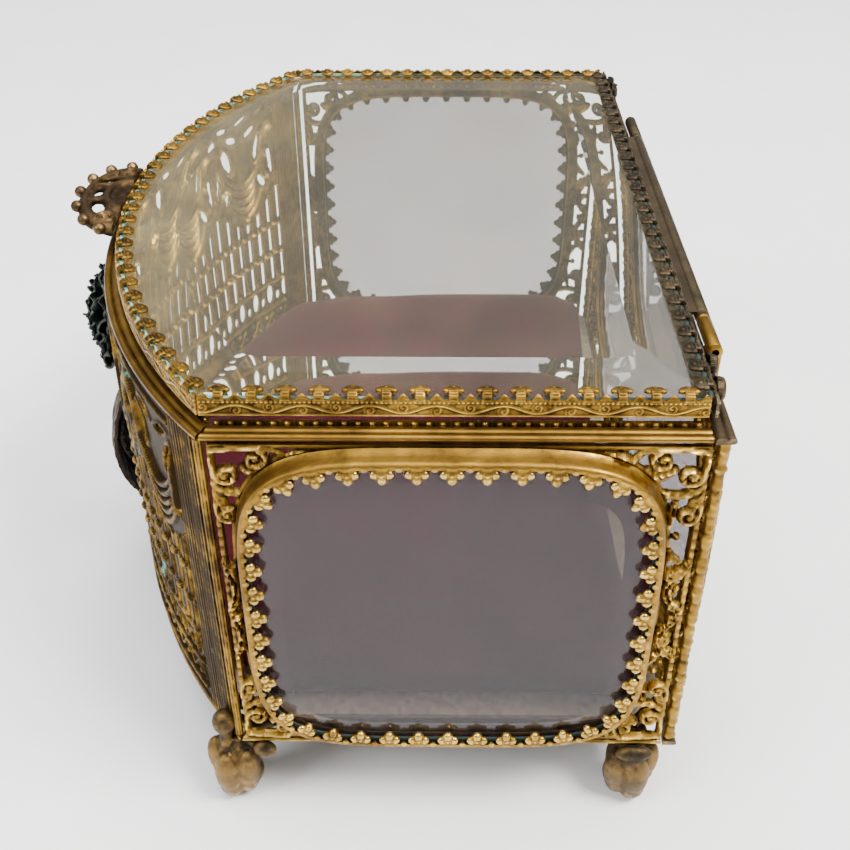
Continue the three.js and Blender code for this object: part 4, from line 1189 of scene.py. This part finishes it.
def lid_relief(us, pitch, offset):
    _, length = profile(lid_section())
    sheet = Relief(us, np.linspace(0, length, 58))
    x = fold(sheet.u, pitch, offset)
    half = fold(sheet.u, pitch, offset + pitch / 2)
    y = sheet.v
    inside = np.minimum(y + 1, BAND_HEIGHT - y)
    sheet.add(inside, 0.0)
    peak = (1.05 - np.abs(half) - (y - BAND_HEIGHT)) * 0.7
    sheet.add(np.minimum(peak, y), 0.08)
    stem = np.minimum(band(x, -0.72, 0.72), band(y, BAND_HEIGHT - 0.5, 5.0))
    sheet.add(stem, 0.12 + 0.12 * np.abs(np.sin(math.pi * y / 0.5)))
    sheet.boss(np.minimum(oval(x, y, 0, 5.05, 1.32, 1.2), y - 4.45), 0.6, 0.2)
    for side in (-1, 1):
        sheet.boss(disc(x, y, side * 1.08, 4.72, 0.48), 0.4, 0.2)
    boss = oval(x, y, 0, 5.3, 0.55, 0.42)
    sheet.rise = np.maximum(sheet.rise, dome(boss, 0.4, 0.34))
    # Painted shade: the prong caps above the band are darkened almost to the patina colour.
    sheet.painted_shade = np.where(y > BAND_HEIGHT, 0.95, 0.12)
    bead = disc(fold(sheet.u, pitch / 7, offset), y, 0, 2.38, 0.28)
    lift = dome(bead, 0.28, 0.24)
    wave = fold(sheet.u, 2 * pitch, offset)
    swing = 1.25 + 0.62 * np.sin(2 * math.pi * wave / (2 * pitch))
    slope = 0.62 * math.pi / pitch * np.cos(2 * math.pi * wave / (2 * pitch))
    stalk = np.abs(y - swing) / np.sqrt(1 + slope**2)
    lift = np.maximum(lift, 0.26 * np.sqrt(np.clip(1 - (stalk / 0.3) ** 2, 0, 1)))
    for centre, level, hand in ((0.5, 0.95, 1), (1.5, 1.5, -1)):
        eye_x = fold(sheet.u, 2 * pitch, offset + centre * pitch)
        far = np.hypot(eye_x, y - level)
        turn = np.arctan2(y - level, eye_x) * hand
        coil = np.abs(((far - turn * 0.09) % 0.56) - 0.28)
        lift = np.maximum(lift, np.where(far < 0.85, 0.24 * np.clip(coil / 0.28, 0, 1), 0))
    lift = np.maximum(lift, 0.2 * np.sqrt(np.clip(1 - ((y - 0.22) / 0.26) ** 2, 0, 1)))
    sheet.rise = np.maximum(sheet.rise, np.where(y < BAND_HEIGHT - 0.05, lift, 0))
    return sheet


def folded(base):
    """Maps a strip's flat sheet through its section; base(u, n, z) gives the point."""
    at, _ = profile(lid_section())

    def place(u, v, w):
        n, z, out_n, out_z = at(v)
        return base(u, n + out_n * w, z + out_z * w)

    return place


GROOVE_LOW, GROOVE_HIGH = 84.6, 84.95  # the crust behind the prongs


def box_section(outer, inner, low, high):
    return [(outer, high), (outer, low), (inner, low), (inner, high)]


def lid_strip(name, base, low, high, prongs, ends=1.2, finish=STRIP_GILT):
    pitch = (high - low - 2 * ends) / prongs
    step = 0.155
    us = np.linspace(low, high, round((high - low) / step) + 1)
    skin = Skin()
    sheet = lid_relief(us, pitch, low + ends + pitch / 2)
    sheet.build(skin, folded(base), LID_THICK, tones=(0.42, 1.0), full=0.26)
    seat = box_section(-0.5, -2.7, BAND_BOTTOM + 0.12, BAND_BOTTOM + 0.5)
    groove = box_section(-0.45, -1.05, GROOVE_LOW, GROOVE_HIGH)
    steps = 90
    for section, number in ((seat, 0), (groove, 1)):
        line = np.linspace(low + 1.2, high - 1.2, steps)
        loops = [base(line, np.full(steps, n), np.full(steps, z)) for n, z in section]
        tube(skin, np.array(loops).transpose(1, 0, 2), 0.4, number)
    place_piece(f"gallery_{name}", skin, [finish, CRUST], "lid", [f"lid_gallery_{name}"])


lid_middle = (side_low[1] + side_high[1]) / 2
lid_half = (side_high[1] - side_low[1]) / 2
CORNER_REACH = 0.8  # the side strips run on to meet the bowed one
END_PRONGS = 15  # as many as the photograph shows along an end
lid_strip("right", lambda u, n, z: np.stack([LID_SIDE + n, lid_middle + u, z], -1),
          -lid_half - CORNER_REACH, lid_half, END_PRONGS, 0.6)
lid_strip("left", lambda u, n, z: np.stack([-LID_SIDE - n, lid_middle - u, z], -1),
          -lid_half, lid_half + CORNER_REACH, END_PRONGS, 0.6)
lid_strip("back", lambda u, n, z: np.stack([-u, LID_BACK + n, z], -1),
          lid_back_low[0], lid_back_high[0], 28, finish=DARK_GILT)


def on_lid_bow(u, n, z):
    angle = u / LID_RADIUS
    reach = LID_RADIUS + n
    return np.stack([reach * np.sin(angle), LID_CENTRE_Y - reach * np.cos(angle), z], -1)


bow_reach = LID_RADIUS * math.asin((LID_SIDE - 0.1) / LID_RADIUS)
lid_strip("front", on_lid_bow, -bow_reach, bow_reach, 30, 0.5)


# ---- lid glass ---------------------------------------------------------------
GLASS_INSET = 1.1  # edge of the glass, inside the strips' outer faces


def lid_plan(inset, corner, steps=90):
    """D-shaped outline with rounded corners, anticlockwise seen from above."""
    half, back, radius = (edge - GLASS_INSET - inset for edge in (LID_SIDE, LID_BACK, LID_RADIUS))
    limit = math.asin(half / radius)
    points = [(radius * math.sin(a), LID_CENTRE_Y - radius * math.cos(a))
              for a in np.linspace(-limit, limit, steps)]
    points += [(half, back), (-half, back)]
    points = np.array(points)
    rounded = []
    sharp_at = {0, steps - 1, steps, steps + 1}
    for k, point in enumerate(points):
        if k not in sharp_at:
            if min(np.hypot(*(point - points[0])), np.hypot(*(point - points[steps - 1]))) > corner:
                rounded.append(point)
            continue
        before, after = points[k - 1], points[(k + 1) % len(points)]
        if k == 0:
            before = points[-1]
            after = points[1]
        a = point + (before - point) / np.hypot(*(before - point)) * corner
        b = point + (after - point) / np.hypot(*(after - point)) * corner
        for t in np.linspace(0, 1, 9):
            rounded.append((1 - t) ** 2 * a + 2 * t * (1 - t) * point + t**2 * b)
    return np.array(rounded)


def even_loop(points, count, z):
    closed = np.concatenate([points, points[:1]])
    reach = np.concatenate([[0], np.cumsum(np.hypot(*np.diff(closed, axis=0).T))])
    even = np.linspace(0, reach[-1], count, endpoint=False)
    x, y = np.interp(even, reach, closed[:, 0]), np.interp(even, reach, closed[:, 1])
    return np.stack([x, y, np.full(count, z)], -1)


glass_low, glass_high = corners("lid_glass")
GLASS_EDGE = glass_low[2] + 1.5  # top of the upright edge, where the bevel starts
LID_BEVEL = 9.0  # width of the bevel
pane = Skin()
outer_plan, inner_plan = lid_plan(0, 1.2), lid_plan(LID_BEVEL, 3.2)


def matched(points, like):
    """Points of a plan in the directions of another plan's points, from a common middle."""
    middle = np.array([0.0, MIDDLE_Y - 4])
    closed = np.concatenate([points, points[:1]])
    angle = np.unwrap(np.arctan2(closed[:, 1] - middle[1], closed[:, 0] - middle[0]))
    wanted = np.arctan2(like[:, 1] - middle[1], like[:, 0] - middle[0])
    wanted = angle[0] + (wanted - angle[0]) % (2 * math.pi)
    return np.stack([np.interp(wanted, angle, closed[:, 0]), np.interp(wanted, angle, closed[:, 1])], 1)


edge_loop = even_loop(outer_plan, 420, 0)[:, :2]
bevel_loop = matched(inner_plan, edge_loop)
rings = [(edge_loop, glass_low[2]), (edge_loop, GLASS_EDGE), (bevel_loop, glass_high[2])]
loops = [np.column_stack([ring, np.full(len(ring), z)]) for ring, z in rings]
tube(pane, np.array(loops)[::-1], 0.5)
place_piece("bevelled_lid_pane", pane, [LID_GLASS], "lid", ["lid_glass"],
            sharp=GLASS_SHARP)


# ---- cushion -----------------------------------------------------------------
CUSHION_VOXEL = 2.4
CUSHION_SHRINK = 0.985  # room to swell inside the CAD pad
SWELL_LIMIT = 2.2  # furthest that any point may move
SWELL_FRAMES = 20


def make_cushion():
    """Velvet over wadding: the CAD pad remeshed, swollen as cloth and smoothed."""
    source = frame["nodes"]["cushion"]
    made = bpy.data.objects.new("velvet_cushion", source.data.copy())
    bpy.context.scene.collection.objects.link(made)
    made.data.materials.clear()
    made.data.materials.append(VELVET)
    low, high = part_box("cushion")
    remesh = made.modifiers.new("remesh", "REMESH")
    remesh.mode = "VOXEL"
    remesh.voxel_size = CUSHION_VOXEL * MM
    apply_modifiers(made)
    middle = (low + high) / 2
    for vertex in made.data.vertices:
        vertex.co = middle + (vertex.co - middle) * CUSHION_SHRINK
    before = np.array([v.co for v in made.data.vertices])
    swell(made)
    after = np.array([v.co for v in made.data.vertices])
    move = after - before
    size = np.linalg.norm(move, axis=1, keepdims=True)
    move *= np.minimum(1, SWELL_LIMIT * MM / np.maximum(size, 1e-9))
    after = before + move
    after[:, 2] = np.maximum(after[:, 2], low[2])
    made.data.vertices.foreach_set("co", after.astype(np.float32).ravel())
    made.data.update()
    soften = made.modifiers.new("soften", "SMOOTH")
    soften.factor = 0.5
    soften.iterations = 4
    finer = made.modifiers.new("finer", "SUBSURF")
    finer.levels = finer.render_levels = 1
    apply_modifiers(made)
    made.data.shade_smooth()
    tie(made, "case", ["cushion"])
    return made


def apply_modifiers(made):
    bpy.context.view_layer.update()
    graph = bpy.context.evaluated_depsgraph_get()
    mesh = bpy.data.meshes.new_from_object(made.evaluated_get(graph))
    made.modifiers.clear()
    made.data = mesh


def swell(made):
    cloth = made.modifiers.new("cloth", "CLOTH")
    settings = cloth.settings
    settings.quality = 5
    settings.mass = 0.2
    settings.use_pressure = True
    settings.uniform_pressure_force = 4.0
    settings.effector_weights.gravity = 0.0
    scene = bpy.context.scene
    for number in range(1, SWELL_FRAMES + 1):
        scene.frame_set(number)
    apply_modifiers(made)
    scene.frame_set(1)


make_cushion()

# ---- cast and soft-edged pieces ----------------------------------------------
def fused(name, skin, voxel, smoothing, finish, body, nodes):
    """Joins overlapping closed parts into one soft-edged casting."""
    made = place_piece(name, skin, [finish], body, nodes)
    remesh = made.modifiers.new("remesh", "REMESH")
    remesh.mode = "VOXEL"
    remesh.voxel_size = voxel * MM
    soften = made.modifiers.new("soften", "SMOOTH")
    soften.factor = 0.5
    soften.iterations = smoothing
    apply_modifiers(made)
    made.data.materials.clear()
    made.data.materials.append(finish)
    made.data.shade_smooth()
    return made


def turned(yaw, pitch=0.0):
    """Rotation that leans z towards a heading by pitch; x points along the heading."""
    c, s = math.cos(yaw), math.sin(yaw)
    about_z = np.array([[c, -s, 0], [s, c, 0], [0, 0, 1]])
    c, s = math.cos(pitch), math.sin(pitch)
    about_y = np.array([[c, 0, s], [0, 1, 0], [-s, 0, c]])
    return about_z @ about_y


def rope(skin, points, radius, columns=14, tone=0.6, finish=0, flat=1.0):
    """A round rod through points; radius may change along it."""
    points = np.asarray(points, float)
    radius = np.broadcast_to(radius, len(points))
    along = np.gradient(points, axis=0)
    along /= np.linalg.norm(along, axis=1, keepdims=True)
    guide = np.array([0.0, 0.0, 1.0]) if abs(along[:, 2]).max() < 0.9 else np.array([0.0, 1.0, 0.1])
    side = np.cross(along, guide)
    side /= np.linalg.norm(side, axis=1, keepdims=True)
    up = np.cross(side, along)
    angle = np.linspace(0, 2 * math.pi, columns, endpoint=False)
    ring = side[:, None] * np.cos(angle)[None, :, None] + up[:, None] * np.sin(angle)[None, :, None] * flat
    tube(skin, points[:, None] + ring * radius[:, None, None], tone, finish)


# ---- paw feet ----------------------------------------------------------------
def paw(name):
    low, high = corners(f"foot_{name}")
    sign = -1 if "left" in name else 1
    front = name.startswith("front")
    edge_x = high[0] if sign > 0 else low[0]
    centre_x = edge_x - sign * 6.6
    boss_low, boss_high = corners(f"foot_screw_{name}")
    boss = (boss_low + boss_high) / 2
    centre_y = low[1] + 5.4 if front else high[1] - 5.2
    outer = -1 if front else 1  # the side turned away from the middle of the box
    skin = Skin()
    at = np.array([centre_x, centre_y, 0.0])
    heading = math.atan2(outer * (0.45 if front else 0.3), sign)
    reach = np.array([math.cos(heading), math.sin(heading), 0.0])
    ellipsoid(skin, at + [0, 0, 8.2], (3.9, 4.0, 6.3))
    ellipsoid(skin, at - reach * 1.0 + [0, 0, 2.6], (3.7, 3.7, 2.9))
    for turn, height, size in ((-1.08, 7.4, 1.0), (0.0, 6.6, 1.08), (1.08, 8.2, 0.9)):
        yaw = heading + turn * sign * outer
        way = np.array([math.cos(yaw), math.sin(yaw), 0.0])
        lobe = (2.35 * size, 2.3 * size, 5.2 * size)
        ellipsoid(skin, at + way * 3.2 + [0, 0, height], lobe, turned(yaw, 0.12))
        tip = (2.0 * size, 2.1 * size, 2.9 * size)
        ellipsoid(skin, at + way * 2.9 + [0, 0, height - 3.2], tip, turned(yaw, 0.3))
    top = high[2] - 2.4
    halfway = (at + [boss[0], boss[1], 2 * top - 2]) / 2
    rope(skin, [at + [0, 0, top - 1], halfway, [boss[0], boss[1], top - 1]], 1.6)
    rope(skin, [[boss[0], boss[1], top - 2], [boss[0], boss[1], top + 2.1]], 2.4, 20)
    rope(skin, [at + [-sign * 1.2, 0, top - 5], at + [-sign * 1.2, 0, top - 0.1]], [3.4, 3.0], 24)
    face_x = sign * (END_FACE + 1.3)
    if front:
        knob = np.array([sign * (END_FACE - 1.0), at[1] - 1.3, top + 4.2])
        ellipsoid(skin, knob, (2.0, 2.1, 2.6))
        rope(skin, [knob - [0, 0, 5.6], knob], [1.2, 1.0])
        ellipsoid(skin, (face_x - sign * 0.6, at[1] + 5.6, top - 0.9), (1.1, 2.1, 1.9), tone=0.9)
        rope(skin, [(face_x - sign * 0.8, at[1] + 5.4, top - 1), (centre_x, at[1] + 1.0, top - 1.4)], 0.9)
    else:
        ellipsoid(skin, (face_x - sign * 0.2, at[1], top - 0.9), (1.3, 3.3, 1.6), tone=0.8)
        ellipsoid(skin, (face_x, at[1], top - 2.8), (1.2, 1.6, 2.4), tone=0.9)
        rope(skin, [(face_x, at[1], top - 1.2), (centre_x, at[1], top - 2.0)], 1.2)
    points = np.concatenate(skin.points)
    limit = top + 6.6 if front else high[2] - 0.2
    points[:, 2] = np.clip(points[:, 2], 0.25, limit)
    points[:, 0] = np.clip(points[:, 0], low[0] + 0.25, high[0] - 0.25)
    skin.points = [points]
    made = fused(f"paw_{name}", skin, 0.26, 3, PAW_GILT, "case", [f"foot_{name}"])
    shade_by_height(made, at[2], 13.0)


def shade_by_height(made, low, high):
    """Tone of a casting: rubbed at the bottom, dull towards the top."""
    count = len(made.data.vertices)
    z = np.empty(count * 3, np.float32)
    made.data.vertices.foreach_get("co", z)
    height = (z[2::3] / MM - low) / (high - low)
    tone = made.data.attributes.get("tone") or made.data.attributes.new("tone", "FLOAT", "POINT")
    tone.data.foreach_set("value", np.clip(1.05 - 0.75 * height, 0.2, 1).astype(np.float32))


for name in FOOT_NAMES:
    paw(name)


# ---- rose --------------------------------------------------------------------
rose_low, rose_high = corners("rose_ornament")
ROSE_AT = np.array([0.0, rose_high[1] - 0.6, (rose_low[2] + rose_high[2]) / 2])
ROSE_TILT = 0.2  # it faces a little upwards


def petal(skin, angle, start, length, width, lift, cup, ruffle, phase):
    """One ruffled petal: s runs outwards from the heart, t across."""
    s, t = np.meshgrid(np.linspace(0.04, 1, 22), np.linspace(-1, 1, 25), indexing="ij")
    half = width * np.sqrt(s) * np.sqrt(1 - 0.5 * s**7)
    edge = 1 - 0.16 * t**2 + 0.05 * np.cos(9 * t + phase)
    radial = start + length * s * edge
    height = lift + cup * s**1.6 - 0.9 * np.clip(s - 0.75, 0, 1) * 2.2 + 0.9 * np.abs(t) ** 2.5 * s
    height += ruffle * s**2 * np.sin(4.6 * t + phase) + 0.10 * np.sin(11 * t) * s
    sideways = t * half
    x = ROSE_AT[0] + radial * math.cos(angle) - sideways * math.sin(angle)
    z = ROSE_AT[2] + radial * math.sin(angle) + sideways * math.cos(angle)
    y = ROSE_AT[1] - height
    grid = np.stack([x, y, z], -1)
    shell(skin, grid, 0.45, 0.25 + 0.55 * s**3)


def rose():
    skin = Skin()
    rings = ((6, 3.4, 9.4, 6.6, 0.2, 2.4, 0.8), (6, 2.8, 8.2, 5.8, 1.4, 2.7, 0.75),
             (6, 2.2, 6.8, 5.0, 2.6, 2.9, 0.6), (5, 1.6, 5.4, 4.4, 3.8, 2.9, 0.5),
             (4, 0.8, 4.0, 3.4, 4.9, 2.9, 0.35), (3, 0.3, 2.6, 2.4, 5.8, 2.7, 0.2))
    for level, (count, start, length, width, lift, cup, ruffle) in enumerate(rings):
        for k in range(count):
            angle = math.pi / 2 + 2 * math.pi * (k + 0.5 * (level % 2) + 0.13 * level) / count
            petal(skin, angle, start, length, width, lift, cup, ruffle, k * 1.9 + level)
    ellipsoid(skin, ROSE_AT - [0, 1.2, 0], (10.2, 4.6, 10.2), rows=20, columns=30, tone=0.1)
    ellipsoid(skin, ROSE_AT - [0, 4.6, 0], (3.4, 4.0, 3.4), rows=14, columns=20, tone=0.3)
    c, n = math.cos(ROSE_TILT), math.sin(ROSE_TILT)
    for points in skin.points:
        y, z = points[:, 1] - ROSE_AT[1], points[:, 2] - ROSE_AT[2]
        points[:, 1] = np.clip(ROSE_AT[1] + y * c + z * n, rose_low[1] + 0.05, rose_high[1])
        points[:, 2] = np.clip(ROSE_AT[2] + z * c - y * n, rose_low[2] - 1, rose_high[2] + 1)
    place_piece("rose_petals", skin, [BRONZE], "case", ["rose_ornament"], sharp=60)


rose()


# ---- leaf --------------------------------------------------------------------
leaf_low, leaf_high = corners("leaf_ornament")


def blade(skin, top, bottom, half_width, face, swell, lean, thick=0.7):
    """A pointed, serrated leaf with a raised midrib, hanging from top to bottom."""
    s, t = np.meshgrid(np.linspace(0, 1, 60), np.linspace(-1, 1, 33), indexing="ij")
    width = half_width * np.abs(np.sin(math.pi * s**0.85)) ** 0.65 + 0.25
    teeth = 1 + 0.09 * ((s * 9) % 1 - 0.5)
    rib = 0.75 * np.clip(1 - np.abs(t) / 0.1, 0, 1) ** 0.7
    veins = 0.3 * np.clip(np.cos(2 * math.pi * (s * 9 - np.abs(t) * 1.3)), 0, 1) * (np.abs(t) > 0.1)
    curve = swell * np.abs(np.sin(math.pi * s)) ** 0.6 + 0.5
    height = curve + rib + veins - 1.7 * t**2 * np.sin(math.pi * s)
    x = (top[0] + (bottom[0] - top[0]) * s) + t * width * teeth * math.cos(lean)
    z = (top[1] + (bottom[1] - top[1]) * s) + t * width * teeth * math.sin(lean)
    y = np.clip(face - height, leaf_low[1] + 0.1, face)
    tone = 0.8 - 0.75 * s + 0.35 * (rib + veins)
    shell(skin, np.stack([x, y, z], -1)[:, ::-1], thick, tone[:, ::-1])


def leaf():
    skin = Skin()
    face = BOW_CENTRE_Y - BOW_RADIUS - GAP
    top = leaf_high[2]
    blade(skin, (0, top - 1), (0, leaf_low[2]), 7.2, face, 7.9, 0.0)
    blade(skin, (-0.6, top - 3), (-6.2, top - 20), 3.4, face, 6.4, 0.45, 0.5)
    blade(skin, (0.6, top - 3), (6.2, top - 20), 3.4, face, 6.4, -0.45, 0.5)
    stem = [(0, face - 2.4, top - 0.9), (0, face - 3.6, top - 4), (0, face - 5.0, top - 9)]
    rope(skin, smooth_line(stem), 0.85, tone=0.5)
    rope(skin, [(0, face - 0.1, 27), (0, face - 7.4, 27)], 1.4, 18, tone=0.3)
    for points in skin.points:
        points[:, 1] = np.clip(points[:, 1], leaf_low[1] + 0.05, leaf_high[1])
    place_piece("leaf_blade", skin, [LEAF_BRONZE], "case", ["leaf_ornament"], sharp=50)


leaf()


# ---- lid pull ----------------------------------------------------------------
pull_low, pull_high = corners("lid_pull")
PULL_HALF = (pull_high[0] - pull_low[0]) / 2 - 1.5
PULL_ROOT = pull_high[1]
PULL_REACH = pull_high[1] - pull_low[1] - 1.6
PULL_RISE = 0.14  # radians it tips up
PULL_LEVEL = 84.2
PULL_BALLS = 7


def pull():
    step = 0.24
    us = np.arange(-PULL_HALF - 1, PULL_HALF + 1 + step, step)
    sheet = Relief(us, np.arange(-0.4, PULL_REACH + 1.2, step))
    u, v = sheet.u, sheet.v
    share = np.hypot(u / PULL_HALF, v / PULL_REACH)
    angle = np.arctan2(v, u)
    fan = (1 - share) * PULL_REACH
    sheet.add(np.minimum(fan, v + 0.4), 0.0)
    ribs = 0.5 * np.abs(np.sin(angle * PULL_BALLS)) * np.clip((share - 0.3) / 0.3, 0, 1)
    rim = 0.9 * np.sqrt(np.clip(1 - ((share - 0.88) / 0.1) ** 2, 0, 1))
    inner = 0.8 * np.sqrt(np.clip(1 - ((share - 0.42) / 0.08) ** 2, 0, 1))
    sheet.rise = np.maximum(np.maximum(ribs, rim), inner)
    for turn in (0.28, 0.72):
        a = math.pi * turn
        cu, cv = 0.64 * PULL_HALF * math.cos(a), 0.62 * PULL_REACH * math.sin(a)
        sheet.cut(oval(u, v, cu, cv, 2.3, 1.1, a - math.pi / 2 + 0.4), 0.6, 1.0)
    sheet.cut(oval(u, v, 0, 0.62 * PULL_REACH, 1.5, 0.8), 0.5, 0.8)
    for side in (-1, 1):
        curl = spiral((side * 0.74 * PULL_HALF, 1.6), 1.9, 1.2, 1.4, side)
        sheet.stroke(curl, 0.9, 1.1)

    def place(u, v, w):
        far = np.hypot(u / PULL_HALF, v / PULL_REACH)
        dome_height = 1.1 * np.clip(1 - far**2, 0, 1)
        up = w + dome_height - 0.6
        y = PULL_ROOT - 0.2 - v * math.cos(PULL_RISE) + up * math.sin(PULL_RISE)
        z = PULL_LEVEL + v * math.sin(PULL_RISE) + up * math.cos(PULL_RISE)
        return np.stack([u, y, np.minimum(z, pull_high[2] + 0.5)], -1)

    skin = Skin()
    sheet.build(skin, place, 0.6, tones=(0.25, 0.9), full=0.9)
    for k in range(PULL_BALLS):
        a = math.pi * (k + 0.5) / PULL_BALLS
        rim_u, rim_v = PULL_HALF * math.cos(a), PULL_REACH * 1.02 * math.sin(a)
        at = place(np.array([rim_u]), np.array([rim_v]), np.array([0.5]))[0]
        ellipsoid(skin, at, (1.15, 1.15, 1.1), rows=14, columns=20, tone=0.7)
        rope(skin, [at, at * 0.9 + np.array([0, PULL_ROOT, at[2]]) * 0.1 - [0, 0, 0.1]], 0.6, tone=0.5)
    place_piece("fan_pull", skin, [PULL_BRONZE], "lid", ["lid_pull"])


pull()


# ---- hinge -------------------------------------------------------------------
def hinge_part(name, node_name, body, finish):
    """A rod with rolled ends and its leaf, in place of a CAD hinge part. It has no bore."""
    low, high = corners(node_name)
    radius = high[2] - HINGE_AT[2]
    skin = Skin()
    shape = [(0, 0.8), (0.12, 0.97), (0.5, 0.99), (0.7, 0.9), (0.9, 0.99)]
    x = [low[0] + a for a, _ in shape] + [high[0] - a for a, _ in shape[::-1]]
    r = [radius * b for _, b in shape] + [radius * b for _, b in shape[::-1]]
    around = 28
    angle = np.linspace(0, 2 * math.pi, around, endpoint=False)
    loops = [
        np.stack([np.full(around, a), HINGE_AT[1] + b * np.cos(angle), HINGE_AT[2] + b * np.sin(angle)], 1)
        for a, b in zip(x, r)
    ]
    tube(skin, np.array(loops), 0.5)
    if body == "lid":
        corner_points = [(low[1], HINGE_AT[2] + 0.35), (low[1], HINGE_AT[2] + 0.85),
                         (HINGE_AT[1] - 0.7, HINGE_AT[2] + 0.85), (HINGE_AT[1] - 0.7, HINGE_AT[2] + 0.35)]
    else:
        corner_points = [(high[1] - 0.55, low[2]), (high[1] - 0.05, low[2]),
                         (high[1] - 0.05, HINGE_AT[2]), (high[1] - 0.55, HINGE_AT[2])]
    loops = [[(a, b, c) for b, c in corner_points] for a in (low[0] + 0.6, high[0] - 0.6)]
    tube(skin, np.array(loops), 0.45)
    place_piece(name, skin, [finish], body, [node_name])


hinge_part("hinge_tube", "hinge_barrel", "lid", DARK_GILT)
hinge_part("hinge_tube_left", "hinge_knuckle_left", "case", DARK_GILT)
hinge_part("hinge_tube_right", "hinge_knuckle_right", "case", STRIP_GILT)


# ---- scrolls at the back corners of the lid ----------------------------------
def lid_scroll(side):
    low, high = corners(f"lid_scroll_{side}")
    step = 0.16
    us, vs = np.arange(low[0] - 0.2, high[0] + 0.3, step), np.arange(low[2] - 0.1, high[2] + 0.1, step)
    sheet = Relief(us, vs)
    sign = 1 if side == "right" else -1
    middle = (low + high) / 2
    half = (high[0] - low[0]) / 2 - 0.6
    for way in (-1, 1):
        eye = (middle[0] + sign * way * half * 0.55, middle[2] - way * 0.1)
        sheet.stroke(spiral(eye, 1.55, 0.3 - way, 1.6, way * sign), 0.85, 0.75, taper=(0.9, 0.5))
        sheet.boss(disc(sheet.u, sheet.v, *eye, 0.55), 0.5, 0.8)
        sheet.add(disc(sheet.u, sheet.v, *eye, 1.6), 0.1)
    tips = [(middle[0] + way * half * 0.9, low[2] + 0.5) for way in (-1, 1)]
    sweep = [tips[0], (middle[0], low[2] + 1.1), tips[1]]
    sheet.stroke(smooth_line(sweep), 1.0, 0.6, "beaded", (0.8, 0.8))

    def place(u, v, w):
        return np.stack([u, low[1] + 0.62 + np.minimum(w, 0.75), v], -1)

    skin = Skin()
    sheet.build(skin, place, 0.6, tones=(0.3, 0.9), full=0.8)
    place_piece(f"corner_scroll_{side}", skin, [DARK_GILT], "lid", [f"lid_scroll_{side}"])


lid_scroll("left")
lid_scroll("right")

# ---- CAD pieces shown as they are --------------------------------------------
for name, finish in (
    *((f"foot_screw_{foot}", STEEL) for foot in FOOT_NAMES),
    ("hinge_pin", STEEL), ("base_plate", PANEL_GILT), ("cushion_board", CARD),
):
    mesh = frame["nodes"][name].data
    mesh.materials.clear()
    mesh.materials.append(finish)


# ---- camera, light and floor -------------------------------------------------
def look(location, back, roll=0.0):
    """A camera matrix at location that looks against `back`."""
    z = Vector(back).normalized()
    x = Vector((0, 0, 1)).cross(z).normalized()
    y = z.cross(x)
    turn = Matrix((x, y, z)).transposed() @ Matrix.Rotation(roll, 3, "Z")
    return Matrix.Translation(location) @ turn.to_4x4()


CAMERA_AT = (197.3, 12.2, 174.5)
CAMERA_BACK = (0.8104, 0.0083, 0.5858)  # from the box towards the camera
CAMERA_ROLL = -0.07  # degrees
LIT_POINT = (0, 0, 0.05)
camera_data = bpy.data.cameras.new("camera")
camera_data.lens = 48.2
camera_data.sensor_width = 36.0
camera_data.clip_start = 0.01
camera = bpy.data.objects.new("camera", camera_data)
bpy.context.scene.collection.objects.link(camera)
camera.matrix_world = look(Vector(CAMERA_AT) * MM, CAMERA_BACK, math.radians(CAMERA_ROLL))
bpy.context.scene.camera = camera


def softbox(name, location, size, power, colour=(1, 1, 1)):
    data = bpy.data.lights.new(name, "AREA")
    data.shape = "RECTANGLE"
    data.size, data.size_y = size
    data.energy = power
    data.color = colour
    made = bpy.data.objects.new(name, data)
    bpy.context.scene.collection.objects.link(made)
    made.matrix_world = look(Vector(location), Vector(location) - Vector(LIT_POINT))


softbox("key", (0.30, 0.55, 0.95), (0.45, 0.35), 24.0, (1.0, 0.97, 0.93))
softbox("fill", (0.50, -0.75, 0.70), (0.5, 0.4), 9.0, (0.95, 0.98, 1.0))
softbox("overhead", (-0.15, -0.1, 1.3), (0.8, 0.8), 16.0)


def studio_sky():
    """A pale dome: darker near the horizon, so the metal has something to mirror."""
    world = bpy.data.worlds.new("studio")
    world.use_nodes = True
    tree = world.node_tree
    tree.nodes.clear()
    way = node(tree, "TexCoord").outputs["Generated"]
    up = node(tree, "SeparateXYZ", Vector=way).outputs["Z"]
    glow = ramp(tree, up, 0.3, 0.95, 0.36, 1.5)
    sky = node(tree, "Background", Color=(0.95, 0.97, 1.0, 1.0), Strength=glow)
    node(tree, "OutputWorld", Surface=sky.outputs[0])
    bpy.context.scene.world = world


studio_sky()


def floor():
    count, half = 40, 2.4
    line = np.linspace(-half, half, count)
    x, y = np.meshgrid(line, line, indexing="ij")
    skin = Skin()
    skin.add(np.stack([x, y, 0 * x], -1) / MM, [grid_faces(count, count)])
    mesh = skin.mesh("floor")
    material, tree = new_material("floor_paper")
    grain = noise(tree, 30.0, 3.0)
    colour = mixed(tree, ramp(tree, grain, 0.3, 0.7), (0.88, 0.88, 0.88), (0.91, 0.91, 0.90))
    shader = node(tree, "BsdfPrincipled", Base_Color=colour, Roughness=0.8)
    node(tree, "OutputMaterial", Surface=shader.outputs[0])
    mesh.materials.append(material)
    made = bpy.data.objects.new("floor", mesh)
    bpy.context.scene.collection.objects.link(made)


floor()
